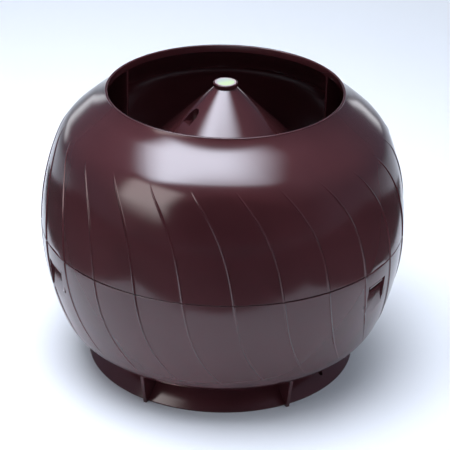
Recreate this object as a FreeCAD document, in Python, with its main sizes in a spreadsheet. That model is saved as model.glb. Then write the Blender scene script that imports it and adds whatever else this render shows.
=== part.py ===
"""Static vent cowl: a moulded bulb in two shells over a flared collar, with a rain cone inside.

Millimetres, +Z up. The origin is the centre of the collar's foot, the plane in which the cowl stands.
Azimuths are measured from the front (-Y) and grow towards +X. Heights are measured from the foot.
"""
import FreeCAD, Part
import os
import Sketcher

DRIVING_SIZES = [
    # The outline of the bulb: a belly arc about the seam, a tighter shoulder, a straight stretch to the
    # rim, and a tight heel that turns in to the lip.
    ("equator_radius", 154.8),
    ("belly_radius", 208.0),
    ("shoulder_radius", 47.0),
    ("shoulder_start", 21.2),
    ("rim_slope", 48.0),
    ("heel_radius", 40.6),
    ("heel_start", 21.9),
    ("seam_height", 124.0),
    ("shell_wall", 2.9),
    # The rim of the mouth, which stands proud of the slope, with the band that hangs inside it.
    ("rim_radius", 100.0),
    ("rim_rise", 0.8),
    ("rim_band_wall", 1.7),
    ("rim_band_height", 6.3),
    # The seam: a shadow groove outside, flat contact inside it, and a skirt that centres the upper shell.
    ("seam_gap", 0.8),
    ("seam_groove_depth", 1.4),
    ("skirt_clearance", 0.5),
    ("skirt_wall", 2.2),
    ("skirt_depth", 5.6),
    ("skirt_root", 8.0),
    # The swirl of raised ridges that runs over both shells.
    ("ridge_count", 24),
    ("ridge_azimuth", 5.0),
    ("ridge_height", 0.8),
    ("ridge_half_width", 1.2),
    ("ridge_root", 1.2),
    ("ridge_sink", 0.5),
    ("ridge_heel_share", 0.42),
    ("swirl_reach", 154.0),
    ("swirl_lean", 8.3),
    ("swirl_curl", 51.0),
    # The three latches: a hook on the upper shell in a window of the lower one.
    ("latch_count", 3),
    ("latch_azimuth", 57.5),
    ("window_half_width", 13.0),
    ("window_drop", 12.9),
    ("window_slot", 7.7),
    ("window_depth", 3.9),
    ("window_backing", 2.7),
    ("window_backing_height", 11.0),
    ("window_backing_ramp", 6.0),
    ("hook_half_width", 10.0),
    ("hook_wall", 2.3),
    ("hook_nose", 2.6),
    ("hook_clearance", 0.5),
    ("hook_sill_gap", 1.6),
    ("pry_depth", 0.6),
    ("pry_height", 2.4),
    # The three webs that hang in the dome and carry the rain cone.
    ("web_count", 3),
    ("web_wall", 2.6),
    ("web_setback", 0.3),
    ("web_foot_gap", 0.3),
    ("web_boss_radius", 4.5),
    ("web_boss_height", 18.0),
    # The rain cone, its drip edge, its screw seats and the pocket near its tip.
    ("cone_tip_rise", 2.7),
    ("cone_tip_radius", 9.0),
    ("cone_half_angle", 45.5),
    ("cone_wall", 2.6),
    ("drip_overhang", 3.6),
    ("drip_edge_height", 5.0),
    ("cone_crown", 6.0),
    ("seat_inset", 10.0),
    ("seat_rise", 3.0),
    ("seat_radius", 6.75),
    ("seat_floor", 3.5),
    ("seat_depth", 10.0),
    ("pocket_azimuth", -60.0),
    ("pocket_pitch_radius", 31.0),
    ("pocket_radius", 5.6),
    ("pocket_sink", 5.7),
    ("pocket_wall", 2.15),
    ("pocket_floor", 2.4),
    ("pocket_hole_radius", 1.6),
    # The cap in the cone's tip, with its plain disc.
    ("cap_radius", 10.2),
    ("cap_height", 3.4),
    ("cap_stem_radius", 4.0),
    ("cap_stem_length", 9.0),
    ("cap_stem_clearance", 0.05),
    ("disc_radius", 8.9),
    ("disc_thickness", 0.3),
    ("disc_recess", 0.2),
    ("disc_clearance", 0.2),
    # The collar: a flare that covers the casing's edge, round a socket that slips over the duct, and fins.
    ("foot_radius", 116.4),
    ("foot_edge", 1.2),
    ("flare_angle", 45.0),
    ("socket_bore_radius", 80.4),
    ("socket_setback", 3.0),
    ("collar_wall", 2.9),
    ("collar_upstand", 4.0),
    ("pipe_stop_drop", 5.36),
    ("pipe_stop_wall", 3.0),
    ("pipe_stop_reach", 6.0),
    ("fixing_count", 3),
    ("fixing_azimuth", 54.2),
    ("fixing_pitch_radius", 107.5),
    ("fixing_radius", 2.4),
    ("fixing_seat_half_width", 4.5),
    ("fin_count", 6),
    ("fin_azimuth", 30.0),
    ("fin_wall", 3.0),
    ("fin_foot_reach", 3.7),
    ("fin_rise", 20.2),
    ("fin_clearance", 0.4),
    ("lip_reach", 8.8),
    # The three ears in the bowl and the bosses on every second fin that they are screwed to.
    ("ear_count", 3),
    ("ear_offset", 8.1),
    ("ear_half_width", 6.0),
    ("ear_wall", 3.0),
    ("fin_boss_radius", 4.2),
    ("fin_boss_floor", 2.0),
    # The self-tapping screws.
    ("screw_radius", 1.9),
    ("screw_hole_radius", 2.2),
    ("screw_pilot_clearance", 0.05),
    ("screw_head_radius", 4.0),
    ("screw_head_height", 2.5),
    ("screw_head_clearance", 0.8),
    ("screw_length", 12.0),
    ("pilot_spare", 1.0),
    # How far a cut runs on past the piece.
    ("cut_reach", 20.0),
]

doc = FreeCAD.newDocument("VentCowl")
sheet = doc.addObject("Spreadsheet::Sheet", "Sizes")
for row, (size_name, size_value) in enumerate(DRIVING_SIZES, start=1):
    sheet.set("A%d" % row, size_name)
    sheet.set("B%d" % row, str(size_value))
    sheet.setAlias("B%d" % row, size_name)
doc.recompute()

FULL_TURN = 360.0
BELLY_STEPS = 3
SHOULDER_STEPS = 2
HEEL_STEPS = 1


def size(name):
    """The expression that reads one driving size."""
    return "Sizes." + name


def origin_feature(body, role):
    """One of a body's own origin planes or axes."""
    return next(item for item in body.Origin.OriginFeatures if item.Role == role)


def new_body(label):
    """An empty body whose label names its file."""
    body = doc.addObject("PartDesign::Body", label)
    body.Label = label
    return body


def turned_sketch(body, name, plane, turn_axis, turn):
    """A sketch on an origin plane, turned about the upright axis by an expression in degrees."""
    sketch = body.newObject("Sketcher::SketchObject", name)
    sketch.AttachmentSupport = [(origin_feature(body, plane), "")]
    sketch.MapMode = "FlatFace"
    sketch.AttachmentOffset = FreeCAD.Placement(FreeCAD.Vector(), FreeCAD.Rotation(turn_axis, 1))
    sketch.setExpression("AttachmentOffset.Rotation.Angle", "(%s) * 1deg" % turn)
    return sketch


def radial_sketch(body, name, azimuth):
    """A sketch in the upright half plane at an azimuth: x runs outwards from the axis, y upwards."""
    return turned_sketch(body, name, "XZ_Plane", FreeCAD.Vector(0, 1, 0), "%s - 90" % azimuth)


def level_sketch(body, name, height, azimuth):
    """A level sketch at a height, whose x axis points along an azimuth."""
    sketch = turned_sketch(body, name, "XY_Plane", FreeCAD.Vector(0, 0, 1), "%s - 90" % azimuth)
    sketch.setExpression("AttachmentOffset.Base.z", height)
    return sketch


def number(sketch, expression):
    """The present value of an expression, to draw the sketch near its solution."""
    value = sketch.evalExpression(expression)
    return float(value.Value if hasattr(value, "Value") else value)


def pin_point(sketch, geometry, vertex, x, y):
    """Ties a vertex to two expressions, or to an axis where the expression is 0."""
    for kind, axis, expression in (("DistanceX", -2, x), ("DistanceY", -1, y)):
        if expression == "0":
            sketch.addConstraint(Sketcher.Constraint("PointOnObject", geometry, vertex, axis))
            continue
        index = sketch.addConstraint(
            Sketcher.Constraint(kind, -1, 1, geometry, vertex, number(sketch, expression)))
        sketch.setExpression("Constraints[%d]" % index, expression)


def tie_radius(sketch, geometry, expression):
    """Ties the radius of an arc or circle to an expression."""
    index = sketch.addConstraint(Sketcher.Constraint("Radius", geometry, number(sketch, expression)))
    sketch.setExpression("Constraints[%d]" % index, expression)


def arc_between(start, end, radius, turn):
    """The shorter arc from start to end. turn is 1 for a counter-clockwise bend and -1 for a clockwise one."""
    chord = end - start
    half = chord.Length / 2
    side = FreeCAD.Vector(-chord.y, chord.x, 0).normalize() * turn
    centre = start + chord * 0.5 + side * (radius * radius - half * half) ** 0.5
    first, last = (start, end) if turn > 0 else (end, start)
    circle = Part.Circle(centre, FreeCAD.Vector(0, 0, 1), radius)
    return Part.ArcOfCircle(circle, circle.parameter(first), circle.parameter(last))


def draw_outline(sketch, corners):
    """Draws a closed outline. A corner is (x, y), or (x, y, radius, turn) where an arc leaves it."""
    points = [FreeCAD.Vector(number(sketch, c[0]), number(sketch, c[1]), 0) for c in corners]
    vertices = []
    for index, corner in enumerate(corners):
        start = points[index]
        end = points[(index + 1) % len(points)]
        if len(corner) == 2:
            sketch.addGeometry(Part.LineSegment(start, end))
            vertices.append((1, 2))
            continue
        radius, turn = corner[2:]
        sketch.addGeometry(arc_between(start, end, number(sketch, radius), turn))
        vertices.append((1, 2) if turn > 0 else (2, 1))
    for index, corner in enumerate(corners):
        before = index - 1 if index else len(corners) - 1
        sketch.addConstraint(
            Sketcher.Constraint("Coincident", before, vertices[before][1], index, vertices[index][0]))
        pin_point(sketch, index, vertices[index][0], corner[0], corner[1])
        if len(corner) > 2:
            tie_radius(sketch, index, corner[2])


def draw_circle(sketch, x, y, radius):
    """Draws one circle whose centre and radius follow expressions."""
    centre = FreeCAD.Vector(number(sketch, x), number(sketch, y), 0)
    index = sketch.addGeometry(Part.Circle(centre, FreeCAD.Vector(0, 0, 1), number(sketch, radius)))
    pin_point(sketch, index, 3, x, y)
    tie_radius(sketch, index, radius)


def revolve(body, sketch, name, axis="V_Axis"):
    """Turns a sketch once round its upright axis, or round one of its edges."""
    feature = body.newObject("PartDesign::Revolution", name)
    feature.Profile = sketch
    feature.ReferenceAxis = (sketch, [axis])
    feature.Angle = FULL_TURN
    return feature


def extrude(body, kind, sketch, name, length, side="One side", backwards=False):
    """Pads or pockets a sketch by an expression."""
    feature = body.newObject("PartDesign::" + kind, name)
    feature.Profile = sketch
    feature.SideType = side
    feature.Reversed = backwards
    feature.setExpression("Length", length)
    return feature


def drill(body, name, height, azimuth, pitch_radius, radius, depth, backwards=False):
    """Sinks a round pocket from a level plane, downwards or, backwards, upwards."""
    sketch = level_sketch(body, name + "Circle", height, azimuth)
    draw_circle(sketch, pitch_radius, "0", radius)
    return extrude(body, "Pocket", sketch, name, depth, backwards=backwards)


def round_pad(body, name, height, azimuth, pitch_radius, radius, rise, backwards=False):
    """Raises a round boss from a level plane, upwards or, backwards, downwards."""
    sketch = level_sketch(body, name + "Circle", height, azimuth)
    draw_circle(sketch, pitch_radius, "0", radius)
    return extrude(body, "Pad", sketch, name, rise, backwards=backwards)


def pattern(body, features, name, count):
    """Repeats features evenly round the upright axis and makes the result the body's tip."""
    feature = body.newObject("PartDesign::PolarPattern", name)
    feature.Originals = features
    feature.Axis = (origin_feature(body, "Z_Axis"), [""])
    feature.Angle = FULL_TURN
    feature.setExpression("Occurrences", count)
    body.Tip = feature
    return feature


# The bulb's outline. Each function gives a point of it, or of a surface set in from it by an inset.
WALL = size("shell_wall")
BELLY_CENTRE_X = "(Sizes.equator_radius - Sizes.belly_radius)"
HEEL_CENTRE_X = (
    "(%s + (Sizes.belly_radius - Sizes.heel_radius) * cos(Sizes.heel_start * 1deg))" % BELLY_CENTRE_X)
HEEL_CENTRE_Y = (
    "(Sizes.seam_height - (Sizes.belly_radius - Sizes.heel_radius) * sin(Sizes.heel_start * 1deg))")
SHOULDER_CENTRE_X = (
    "(%s + (Sizes.belly_radius - Sizes.shoulder_radius) * cos(Sizes.shoulder_start * 1deg))"
    % BELLY_CENTRE_X)
SHOULDER_CENTRE_Y = (
    "(Sizes.seam_height"
    " + (Sizes.belly_radius - Sizes.shoulder_radius) * sin(Sizes.shoulder_start * 1deg))")


def arc_point(centre_x, centre_y, radius, angle, inset, sign):
    """A point of an arc at an angle above (1) or below (-1) the level through its centre."""
    reach = "(%s - %s)" % (radius, inset)
    x = "%s + %s * cos((%s) * 1deg)" % (centre_x, reach, angle)
    y = "%s + (%d) * %s * sin((%s) * 1deg)" % (centre_y, sign, reach, angle)
    return x, y


def belly_point(angle, sign):
    """A point of the belly arc at an angle above (1) or below (-1) the seam."""
    return arc_point(BELLY_CENTRE_X, size("seam_height"), size("belly_radius"), angle, "0", sign)


def shoulder_point(angle, inset="0"):
    """A point of the shoulder arc at the angle of its outward normal above the level."""
    return arc_point(SHOULDER_CENTRE_X, SHOULDER_CENTRE_Y, size("shoulder_radius"), angle, inset, 1)


def heel_point(angle, inset="0"):
    """A point of the heel arc at the angle of its outward normal below the level."""
    return arc_point(HEEL_CENTRE_X, HEEL_CENTRE_Y, size("heel_radius"), angle, inset, -1)


def arc_at(centre_x, centre_y, radius, height, inset):
    """The point of an arc at a height above the foot."""
    x = "%s + sqrt((%s - %s) ^ 2 - (%s - %s) ^ 2)" % (centre_x, radius, inset, height, centre_y)
    return x, height


def belly_at(height, inset="0"):
    """The point of the belly arc at a height above the foot."""
    return arc_at(BELLY_CENTRE_X, size("seam_height"), size("belly_radius"), height, inset)


def heel_at(height, inset):
    """The point of the heel arc at a height above the foot."""
    return arc_at(HEEL_CENTRE_X, HEEL_CENTRE_Y, size("heel_radius"), height, inset)


def slope_at(radius, inset="0"):
    """The point at a radius on the straight stretch between the shoulder and the rim."""
    top_x, top_y = shoulder_point(size("rim_slope"), inset)
    height = "%s + (%s - (%s)) / tan(Sizes.rim_slope * 1deg)" % (top_y, top_x, radius)
    return radius, height


def bend(radius, turn, inset="0"):
    """The arc that leaves a corner: its radius, set in from a named one, and the way it turns."""
    return "%s - %s" % (size(radius), inset), turn


# The collar, and the lip that hangs outside its foot.
FOOT_RADIUS = size("foot_radius")
SOCKET_OUTER = "(Sizes.socket_bore_radius + Sizes.collar_wall)"
LIP_ANGLE = (
    "(acos((%s + Sizes.lip_reach - %s) / Sizes.heel_radius) / 1deg)" % (FOOT_RADIUS, HEEL_CENTRE_X))
LIP_HEIGHT = "(%s)" % heel_point(LIP_ANGLE)[1]
FIN_TOP = "(%s + Sizes.fin_rise)" % LIP_HEIGHT
EAR_PITCH = "(%s + Sizes.ear_offset)" % FOOT_RADIUS
EAR_TOP = "(%s + Sizes.ear_wall)" % FIN_TOP
EAR_PILOT_DEPTH = "(Sizes.screw_length - Sizes.ear_wall + Sizes.pilot_spare)"

# The rim and its band.
RIM_HEIGHT = "(%s + Sizes.rim_rise)" % slope_at(size("rim_radius"))[1]
BAND_OUTER = "(Sizes.rim_radius - Sizes.web_setback)"
BAND_INNER = "(%s - Sizes.rim_band_wall)" % BAND_OUTER
BAND_FOOT = "(%s - Sizes.rim_band_height)" % RIM_HEIGHT

# The seam and the skirt inside it.
UPPER_EDGE = "(Sizes.seam_height + Sizes.seam_gap / 2)"
LOWER_EDGE = "(Sizes.seam_height - Sizes.seam_gap / 2)"
GROOVE_RADIUS = "(Sizes.equator_radius - Sizes.seam_groove_depth)"
MOUTH_RADIUS = "(Sizes.equator_radius - Sizes.shell_wall)"
SKIRT_OUTER = "(%s - Sizes.skirt_clearance)" % MOUTH_RADIUS
SKIRT_INNER = "(%s - Sizes.skirt_wall)" % SKIRT_OUTER
SKIRT_END = "(Sizes.seam_height - Sizes.skirt_depth)"

# The latch windows and the hooks in them.
WINDOW_BACK = "(Sizes.equator_radius - Sizes.window_depth)"
WINDOW_ROOF = "(Sizes.seam_height - Sizes.window_drop)"
WINDOW_SILL = "(%s - Sizes.window_slot)" % WINDOW_ROOF
HOOK_FACE = "(%s - Sizes.hook_clearance)" % WINDOW_BACK
HOOK_BACK = "(%s - Sizes.hook_wall)" % HOOK_FACE
HOOK_NOSE = "(%s + Sizes.hook_nose)" % HOOK_FACE
HOOK_FOOT = "(%s + Sizes.hook_sill_gap)" % WINDOW_SILL
HOOK_TOP = "(%s - Sizes.hook_clearance)" % WINDOW_ROOF

# The rain cone and the seats of its screws.
CONE_TIP = "(%s + Sizes.cone_tip_rise)" % RIM_HEIGHT
CONE_SLOPE = "tan(Sizes.cone_half_angle * 1deg)"
CONE_EDGE = "(%s + Sizes.drip_overhang)" % FOOT_RADIUS
SEAT_PITCH = "(%s - Sizes.seat_inset)" % CONE_EDGE
CONE_PILOT_DEPTH = "(Sizes.screw_length - Sizes.seat_floor + Sizes.pilot_spare)"


def flare_at(radius, inset="0"):
    """The point at a radius on the flare's outer face, or on a face set in from it."""
    height = "%s + (%s - %s) * tan(Sizes.flare_angle * 1deg) - (%s) / cos(Sizes.flare_angle * 1deg)" % (
        size("foot_edge"), FOOT_RADIUS, radius, inset)
    return radius, height


def flare_foot(inset):
    """The point at which a face set in from the flare's outer face meets the floor."""
    return "%s + (%s - (%s) / cos(Sizes.flare_angle * 1deg)) / tan(Sizes.flare_angle * 1deg)" % (
        FOOT_RADIUS, size("foot_edge"), inset), "0"


def cone_drop(inset):
    """How far below the cone's surface lies one that is set in from it."""
    return "(%s / sin(Sizes.cone_half_angle * 1deg))" % inset


def cone_height(radius, inset="0"):
    """The height of the rain cone's surface at a radius, or of one set in from it by a wall."""
    return "(%s - (%s - Sizes.cone_tip_radius) / %s - %s)" % (
        CONE_TIP, radius, CONE_SLOPE, cone_drop(inset))


SEAT_HEIGHT = "(%s + Sizes.seat_rise)" % cone_height(SEAT_PITCH)


def crest_share(step, steps):
    """A crest's share of the full height: whole at the seam, under the surface at its far end."""
    return "(1 - (1 + Sizes.ridge_sink) * (%d / %d) ^ 3)" % (step, steps)


def ridge_slices(edge, sign, belly_end, far_end, far_steps, far_point):
    """Where a ridge is sliced: from the seam edge over the belly, and on to its end on the tighter arc."""
    steps = BELLY_STEPS + far_steps
    slices = [(belly_at(edge), "0", crest_share(0, steps))]
    for step in range(1, BELLY_STEPS + 1):
        angle = "%s * %d / %d" % (belly_end, step, BELLY_STEPS)
        slices.append((belly_point(angle, sign), angle, crest_share(step, steps)))
    for step in range(1, far_steps + 1):
        angle = "(%s + (%s - %s) * %d / %d)" % (belly_end, far_end, belly_end, step, far_steps)
        slices.append((far_point(angle), angle, crest_share(BELLY_STEPS + step, steps)))
    return slices


def ridge_section(body, name, point, normal_angle, share):
    """One level slice of a ridge: a triangle with its root in the wall and its crest proud of it."""
    radius, height = point
    climb = "((%s - Sizes.seam_height) / Sizes.swirl_reach)" % height
    azimuth = "(Sizes.ridge_azimuth - Sizes.swirl_lean * %s - Sizes.swirl_curl * %s ^ 3)" % (climb, climb)
    crest = "(Sizes.ridge_height * %s / cos((%s) * 1deg))" % (share, normal_angle)
    half_root = "((%s + Sizes.ridge_root) * Sizes.ridge_half_width / Sizes.ridge_height)" % crest
    sketch = level_sketch(body, name, height, azimuth)
    draw_outline(sketch, [
        ("%s + %s" % (radius, crest), "0"),
        ("%s - Sizes.ridge_root" % radius, half_root),
        ("%s - Sizes.ridge_root" % radius, "-" + half_root),
    ])
    return sketch


def add_ridges(body, name, slices):
    """Lofts one ridge through its slices and repeats it round the shell."""
    sections = [ridge_section(body, "%sSlice%d" % (name, index), point, angle, share)
                for index, (point, angle, share) in enumerate(slices)]
    loft = body.newObject("PartDesign::AdditiveLoft", name)
    loft.Profile = sections[0]
    loft.Sections = sections[1:]
    pattern(body, [loft], name + "s", size("ridge_count"))


def build_upper_shell():
    """The dome: rim band, ridges, three webs with screw bosses, skirt, three hooks and pry notches."""
    body = new_body("upper_shell")
    profile = radial_sketch(body, "DomeProfile", "90")
    draw_outline(profile, [
        belly_at(UPPER_EDGE) + bend("belly_radius", 1),
        shoulder_point(size("shoulder_start")) + bend("shoulder_radius", 1),
        shoulder_point(size("rim_slope")),
        slope_at(size("rim_radius")),
        (size("rim_radius"), RIM_HEIGHT),
        (BAND_INNER, RIM_HEIGHT),
        (BAND_INNER, BAND_FOOT),
        (BAND_OUTER, BAND_FOOT),
        slope_at(BAND_OUTER, WALL),
        shoulder_point(size("rim_slope"), WALL) + bend("shoulder_radius", -1, WALL),
        shoulder_point(size("shoulder_start"), WALL) + bend("belly_radius", -1, WALL),
        belly_at("(Sizes.seam_height + Sizes.skirt_root)", WALL),
        (SKIRT_INNER, "Sizes.seam_height + Sizes.skirt_root / 2"),
        (SKIRT_INNER, SKIRT_END),
        (SKIRT_OUTER, SKIRT_END),
        (SKIRT_OUTER, size("seam_height")),
        (GROOVE_RADIUS, size("seam_height")),
        (GROOVE_RADIUS, UPPER_EDGE),
    ])
    revolve(body, profile, "Dome")
    add_ridges(body, "UpperRidge", ridge_slices(
        UPPER_EDGE, 1, size("shoulder_start"), size("rim_slope"), SHOULDER_STEPS, shoulder_point))

    mid_wall = "(Sizes.shell_wall / 2)"
    web_inner = "(%s + Sizes.web_setback)" % BAND_INNER
    web_foot = "(%s + Sizes.web_foot_gap)" % SEAT_HEIGHT
    web_corner = "(%s - Sizes.seat_rise * %s)" % (SEAT_PITCH, CONE_SLOPE)
    web = radial_sketch(body, "WebOutline", "0")
    draw_outline(web, [
        (web_inner, "%s + Sizes.web_foot_gap" % cone_height(web_inner)),
        (web_corner, web_foot),
        belly_at(web_foot, mid_wall) + bend("belly_radius", 1, mid_wall),
        shoulder_point(size("shoulder_start"), mid_wall) + bend("shoulder_radius", 1, mid_wall),
        shoulder_point(size("rim_slope"), mid_wall),
        slope_at("(%s - Sizes.web_setback)" % BAND_OUTER, mid_wall),
        (web_inner, "%s + Sizes.rim_band_height / 2" % BAND_FOOT),
    ])
    webs = [
        extrude(body, "Pad", web, "Web", size("web_wall"), "Symmetric"),
        round_pad(body, "WebBoss", SEAT_HEIGHT, "0", SEAT_PITCH, size("web_boss_radius"),
                  size("web_boss_height")),
        drill(body, "WebPilot", SEAT_HEIGHT, "0", SEAT_PITCH,
              "Sizes.screw_radius + Sizes.screw_pilot_clearance", CONE_PILOT_DEPTH, backwards=True),
    ]
    pattern(body, webs, "Webs", size("web_count"))

    hook = radial_sketch(body, "HookOutline", size("latch_azimuth"))
    draw_outline(hook, [
        (SKIRT_INNER, "%s + Sizes.skirt_wall" % SKIRT_END),
        (HOOK_BACK, SKIRT_END),
        (HOOK_BACK, HOOK_FOOT),
        (HOOK_FACE, HOOK_FOOT),
        (HOOK_NOSE, "%s + Sizes.hook_nose" % HOOK_FOOT),
        (HOOK_NOSE, HOOK_TOP),
        (HOOK_FACE, HOOK_TOP),
        (HOOK_FACE, "%s + Sizes.skirt_wall" % SKIRT_END),
    ])
    notch = radial_sketch(body, "PryOutline", size("latch_azimuth"))
    notch_root = "(Sizes.equator_radius - Sizes.pry_depth)"
    notch_lean = "(Sizes.cut_reach * Sizes.pry_depth / Sizes.pry_height)"
    draw_outline(notch, [
        (notch_root, size("seam_height")),
        ("Sizes.equator_radius + Sizes.cut_reach", size("seam_height")),
        ("Sizes.equator_radius + Sizes.cut_reach", "%s + Sizes.cut_reach" % UPPER_EDGE),
        ("%s + %s" % (notch_root, notch_lean), "%s + Sizes.cut_reach" % UPPER_EDGE),
        (notch_root, UPPER_EDGE),
    ])
    latches = [
        extrude(body, "Pad", hook, "Hook", "2 * Sizes.hook_half_width", "Symmetric"),
        extrude(body, "Pocket", notch, "PryNotch", "2 * Sizes.window_half_width", "Symmetric"),
    ]
    pattern(body, latches, "Latches", size("latch_count"))
    return body


def build_lower_shell():
    """The bowl: seam edge, ridges, three latch windows with backing, turned-in lip and three screw ears."""
    body = new_body("lower_shell")
    profile = radial_sketch(body, "BowlProfile", "90")
    draw_outline(profile, [
        heel_point(LIP_ANGLE) + bend("heel_radius", 1),
        heel_point(size("heel_start")) + bend("belly_radius", 1),
        belly_at(LOWER_EDGE),
        (GROOVE_RADIUS, LOWER_EDGE),
        (GROOVE_RADIUS, size("seam_height")),
        (MOUTH_RADIUS, size("seam_height")) + bend("belly_radius", -1, WALL),
        heel_point(size("heel_start"), WALL) + bend("heel_radius", -1, WALL),
        heel_point(LIP_ANGLE, WALL),
    ])
    revolve(body, profile, "Bowl")
    ridge_end = "(Sizes.heel_start + (%s - Sizes.heel_start) * Sizes.ridge_heel_share)" % LIP_ANGLE
    add_ridges(body, "LowerRidge", ridge_slices(
        LOWER_EDGE, -1, size("heel_start"), ridge_end, HEEL_STEPS, heel_point))

    backing_inner = "(%s - Sizes.window_backing)" % WINDOW_BACK
    backing_outer = "(%s + Sizes.window_backing / 2)" % WINDOW_BACK
    backing_foot = "(%s - Sizes.window_backing_height)" % WINDOW_SILL
    backing = radial_sketch(body, "BackingOutline", size("latch_azimuth"))
    draw_outline(backing, [
        (backing_inner, WINDOW_SILL),
        (backing_inner, "%s - Sizes.window_backing_ramp" % backing_foot),
        (backing_outer, backing_foot),
        (backing_outer, WINDOW_SILL),
    ])
    window = radial_sketch(body, "WindowOutline", size("latch_azimuth"))
    draw_outline(window, [
        (WINDOW_BACK, WINDOW_ROOF),
        (WINDOW_BACK, "%s - 2 * Sizes.cut_reach" % WINDOW_ROOF),
        ("%s + Sizes.cut_reach" % WINDOW_BACK, "%s - 2 * Sizes.cut_reach" % WINDOW_ROOF),
        ("%s + Sizes.cut_reach" % WINDOW_BACK, WINDOW_ROOF),
    ])
    slot = radial_sketch(body, "SlotOutline", size("latch_azimuth"))
    draw_outline(slot, [
        (backing_inner, WINDOW_SILL),
        ("%s + Sizes.cut_reach" % WINDOW_BACK, WINDOW_SILL),
        ("%s + Sizes.cut_reach" % WINDOW_BACK, WINDOW_ROOF),
        (backing_inner, WINDOW_ROOF),
    ])
    windows = [
        extrude(body, "Pad", backing, "WindowBacking",
                "2 * (Sizes.window_half_width + Sizes.window_backing)", "Symmetric"),
        extrude(body, "Pocket", window, "Window", "2 * Sizes.window_half_width", "Symmetric"),
        extrude(body, "Pocket", slot, "WindowSlot", "2 * Sizes.window_half_width", "Symmetric"),
    ]
    pattern(body, windows, "Windows", size("latch_count"))

    ear_root = heel_at(FIN_TOP, "Sizes.shell_wall / 2")[0]
    ear_round = (size("ear_half_width"), -1)
    ear = level_sketch(body, "EarOutline", FIN_TOP, size("fin_azimuth"))
    draw_outline(ear, [
        (ear_root, "-Sizes.ear_half_width"),
        (EAR_PITCH, "-Sizes.ear_half_width") + ear_round,
        ("%s - Sizes.ear_half_width" % EAR_PITCH, "0") + ear_round,
        (EAR_PITCH, size("ear_half_width")),
        (ear_root, size("ear_half_width")),
    ])
    ears = [
        extrude(body, "Pad", ear, "Ear", size("ear_wall")),
        drill(body, "EarHole", EAR_TOP, size("fin_azimuth"), EAR_PITCH, size("screw_hole_radius"),
              size("ear_wall")),
    ]
    pattern(body, ears, "Ears", size("ear_count"))
    return body


def build_mounting_collar():
    """The collar: flare, duct socket with its pipe stop, six fins, three bosses and fixing holes."""
    body = new_body("mounting_collar")
    bore = size("socket_bore_radius")
    collar_top = "(%s + Sizes.collar_upstand)" % FIN_TOP
    stop_top = "(%s - Sizes.pipe_stop_drop)" % FIN_TOP
    stop_foot = "(%s - Sizes.pipe_stop_wall)" % stop_top
    stop_inner = "(Sizes.socket_bore_radius - Sizes.pipe_stop_reach)"
    profile = radial_sketch(body, "CollarProfile", "90")
    draw_outline(profile, [
        flare_foot(size("collar_wall")),
        (FOOT_RADIUS, "0"),
        (FOOT_RADIUS, size("foot_edge")),
        flare_at(SOCKET_OUTER),
        (SOCKET_OUTER, collar_top),
        (bore, collar_top),
        (bore, stop_top),
        (stop_inner, stop_top),
        (stop_inner, stop_foot),
        (bore, stop_foot),
        (bore, size("socket_setback")),
        (SOCKET_OUTER, size("socket_setback")),
        flare_at(SOCKET_OUTER, size("collar_wall")),
    ])
    revolve(body, profile, "Flare")

    # Each fin stands off the lip and the bowl's inner wall by one clearance.
    mid_wall = "(Sizes.collar_wall / 2)"
    in_socket = "(Sizes.socket_bore_radius + %s)" % mid_wall
    clear_wall = "(Sizes.shell_wall + Sizes.fin_clearance)"
    below_lip = "(%s + Sizes.fin_clearance / Sizes.heel_radius * 1rad / 1deg)" % LIP_ANGLE
    fin = radial_sketch(body, "FinOutline", size("fin_azimuth"))
    draw_outline(fin, [
        flare_foot(mid_wall),
        ("%s + Sizes.fin_foot_reach" % FOOT_RADIUS, "0"),
        heel_point(below_lip),
        heel_point(below_lip, clear_wall) + bend("heel_radius", 1, clear_wall),
        heel_at(FIN_TOP, clear_wall),
        (in_socket, FIN_TOP),
        flare_at(in_socket, mid_wall),
    ])
    fin_pad = extrude(body, "Pad", fin, "Fin", size("fin_wall"), "Symmetric")
    pattern(body, [fin_pad], "Fins", size("fin_count"))

    bosses = [
        round_pad(body, "FinBoss", FIN_TOP, size("fin_azimuth"), EAR_PITCH, size("fin_boss_radius"),
                  "%s + Sizes.fin_boss_floor" % EAR_PILOT_DEPTH, backwards=True),
        drill(body, "FinPilot", FIN_TOP, size("fin_azimuth"), EAR_PITCH,
              "Sizes.screw_radius + Sizes.screw_pilot_clearance", EAR_PILOT_DEPTH),
    ]
    pattern(body, bosses, "FinBosses", size("ear_count"))

    # Each fixing hole goes straight down through the flare and a seat under it, level with the foot.
    seat = radial_sketch(body, "FixingSeatOutline", size("fixing_azimuth"))
    seat_inner = "(Sizes.fixing_pitch_radius - Sizes.fixing_seat_half_width)"
    draw_outline(seat, [
        (seat_inner, "0"),
        flare_foot(mid_wall),
        flare_at(seat_inner, mid_wall),
    ])
    flare_top = "(%s)" % flare_at(SOCKET_OUTER)[1]
    fixings = [
        extrude(body, "Pad", seat, "FixingSeat", "2 * Sizes.fixing_seat_half_width", "Symmetric"),
        drill(body, "FixingHole", flare_top, size("fixing_azimuth"), size("fixing_pitch_radius"),
              size("fixing_radius"), "%s + Sizes.cut_reach" % flare_top),
    ]
    pattern(body, fixings, "Fixings", size("fixing_count"))
    return body


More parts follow.
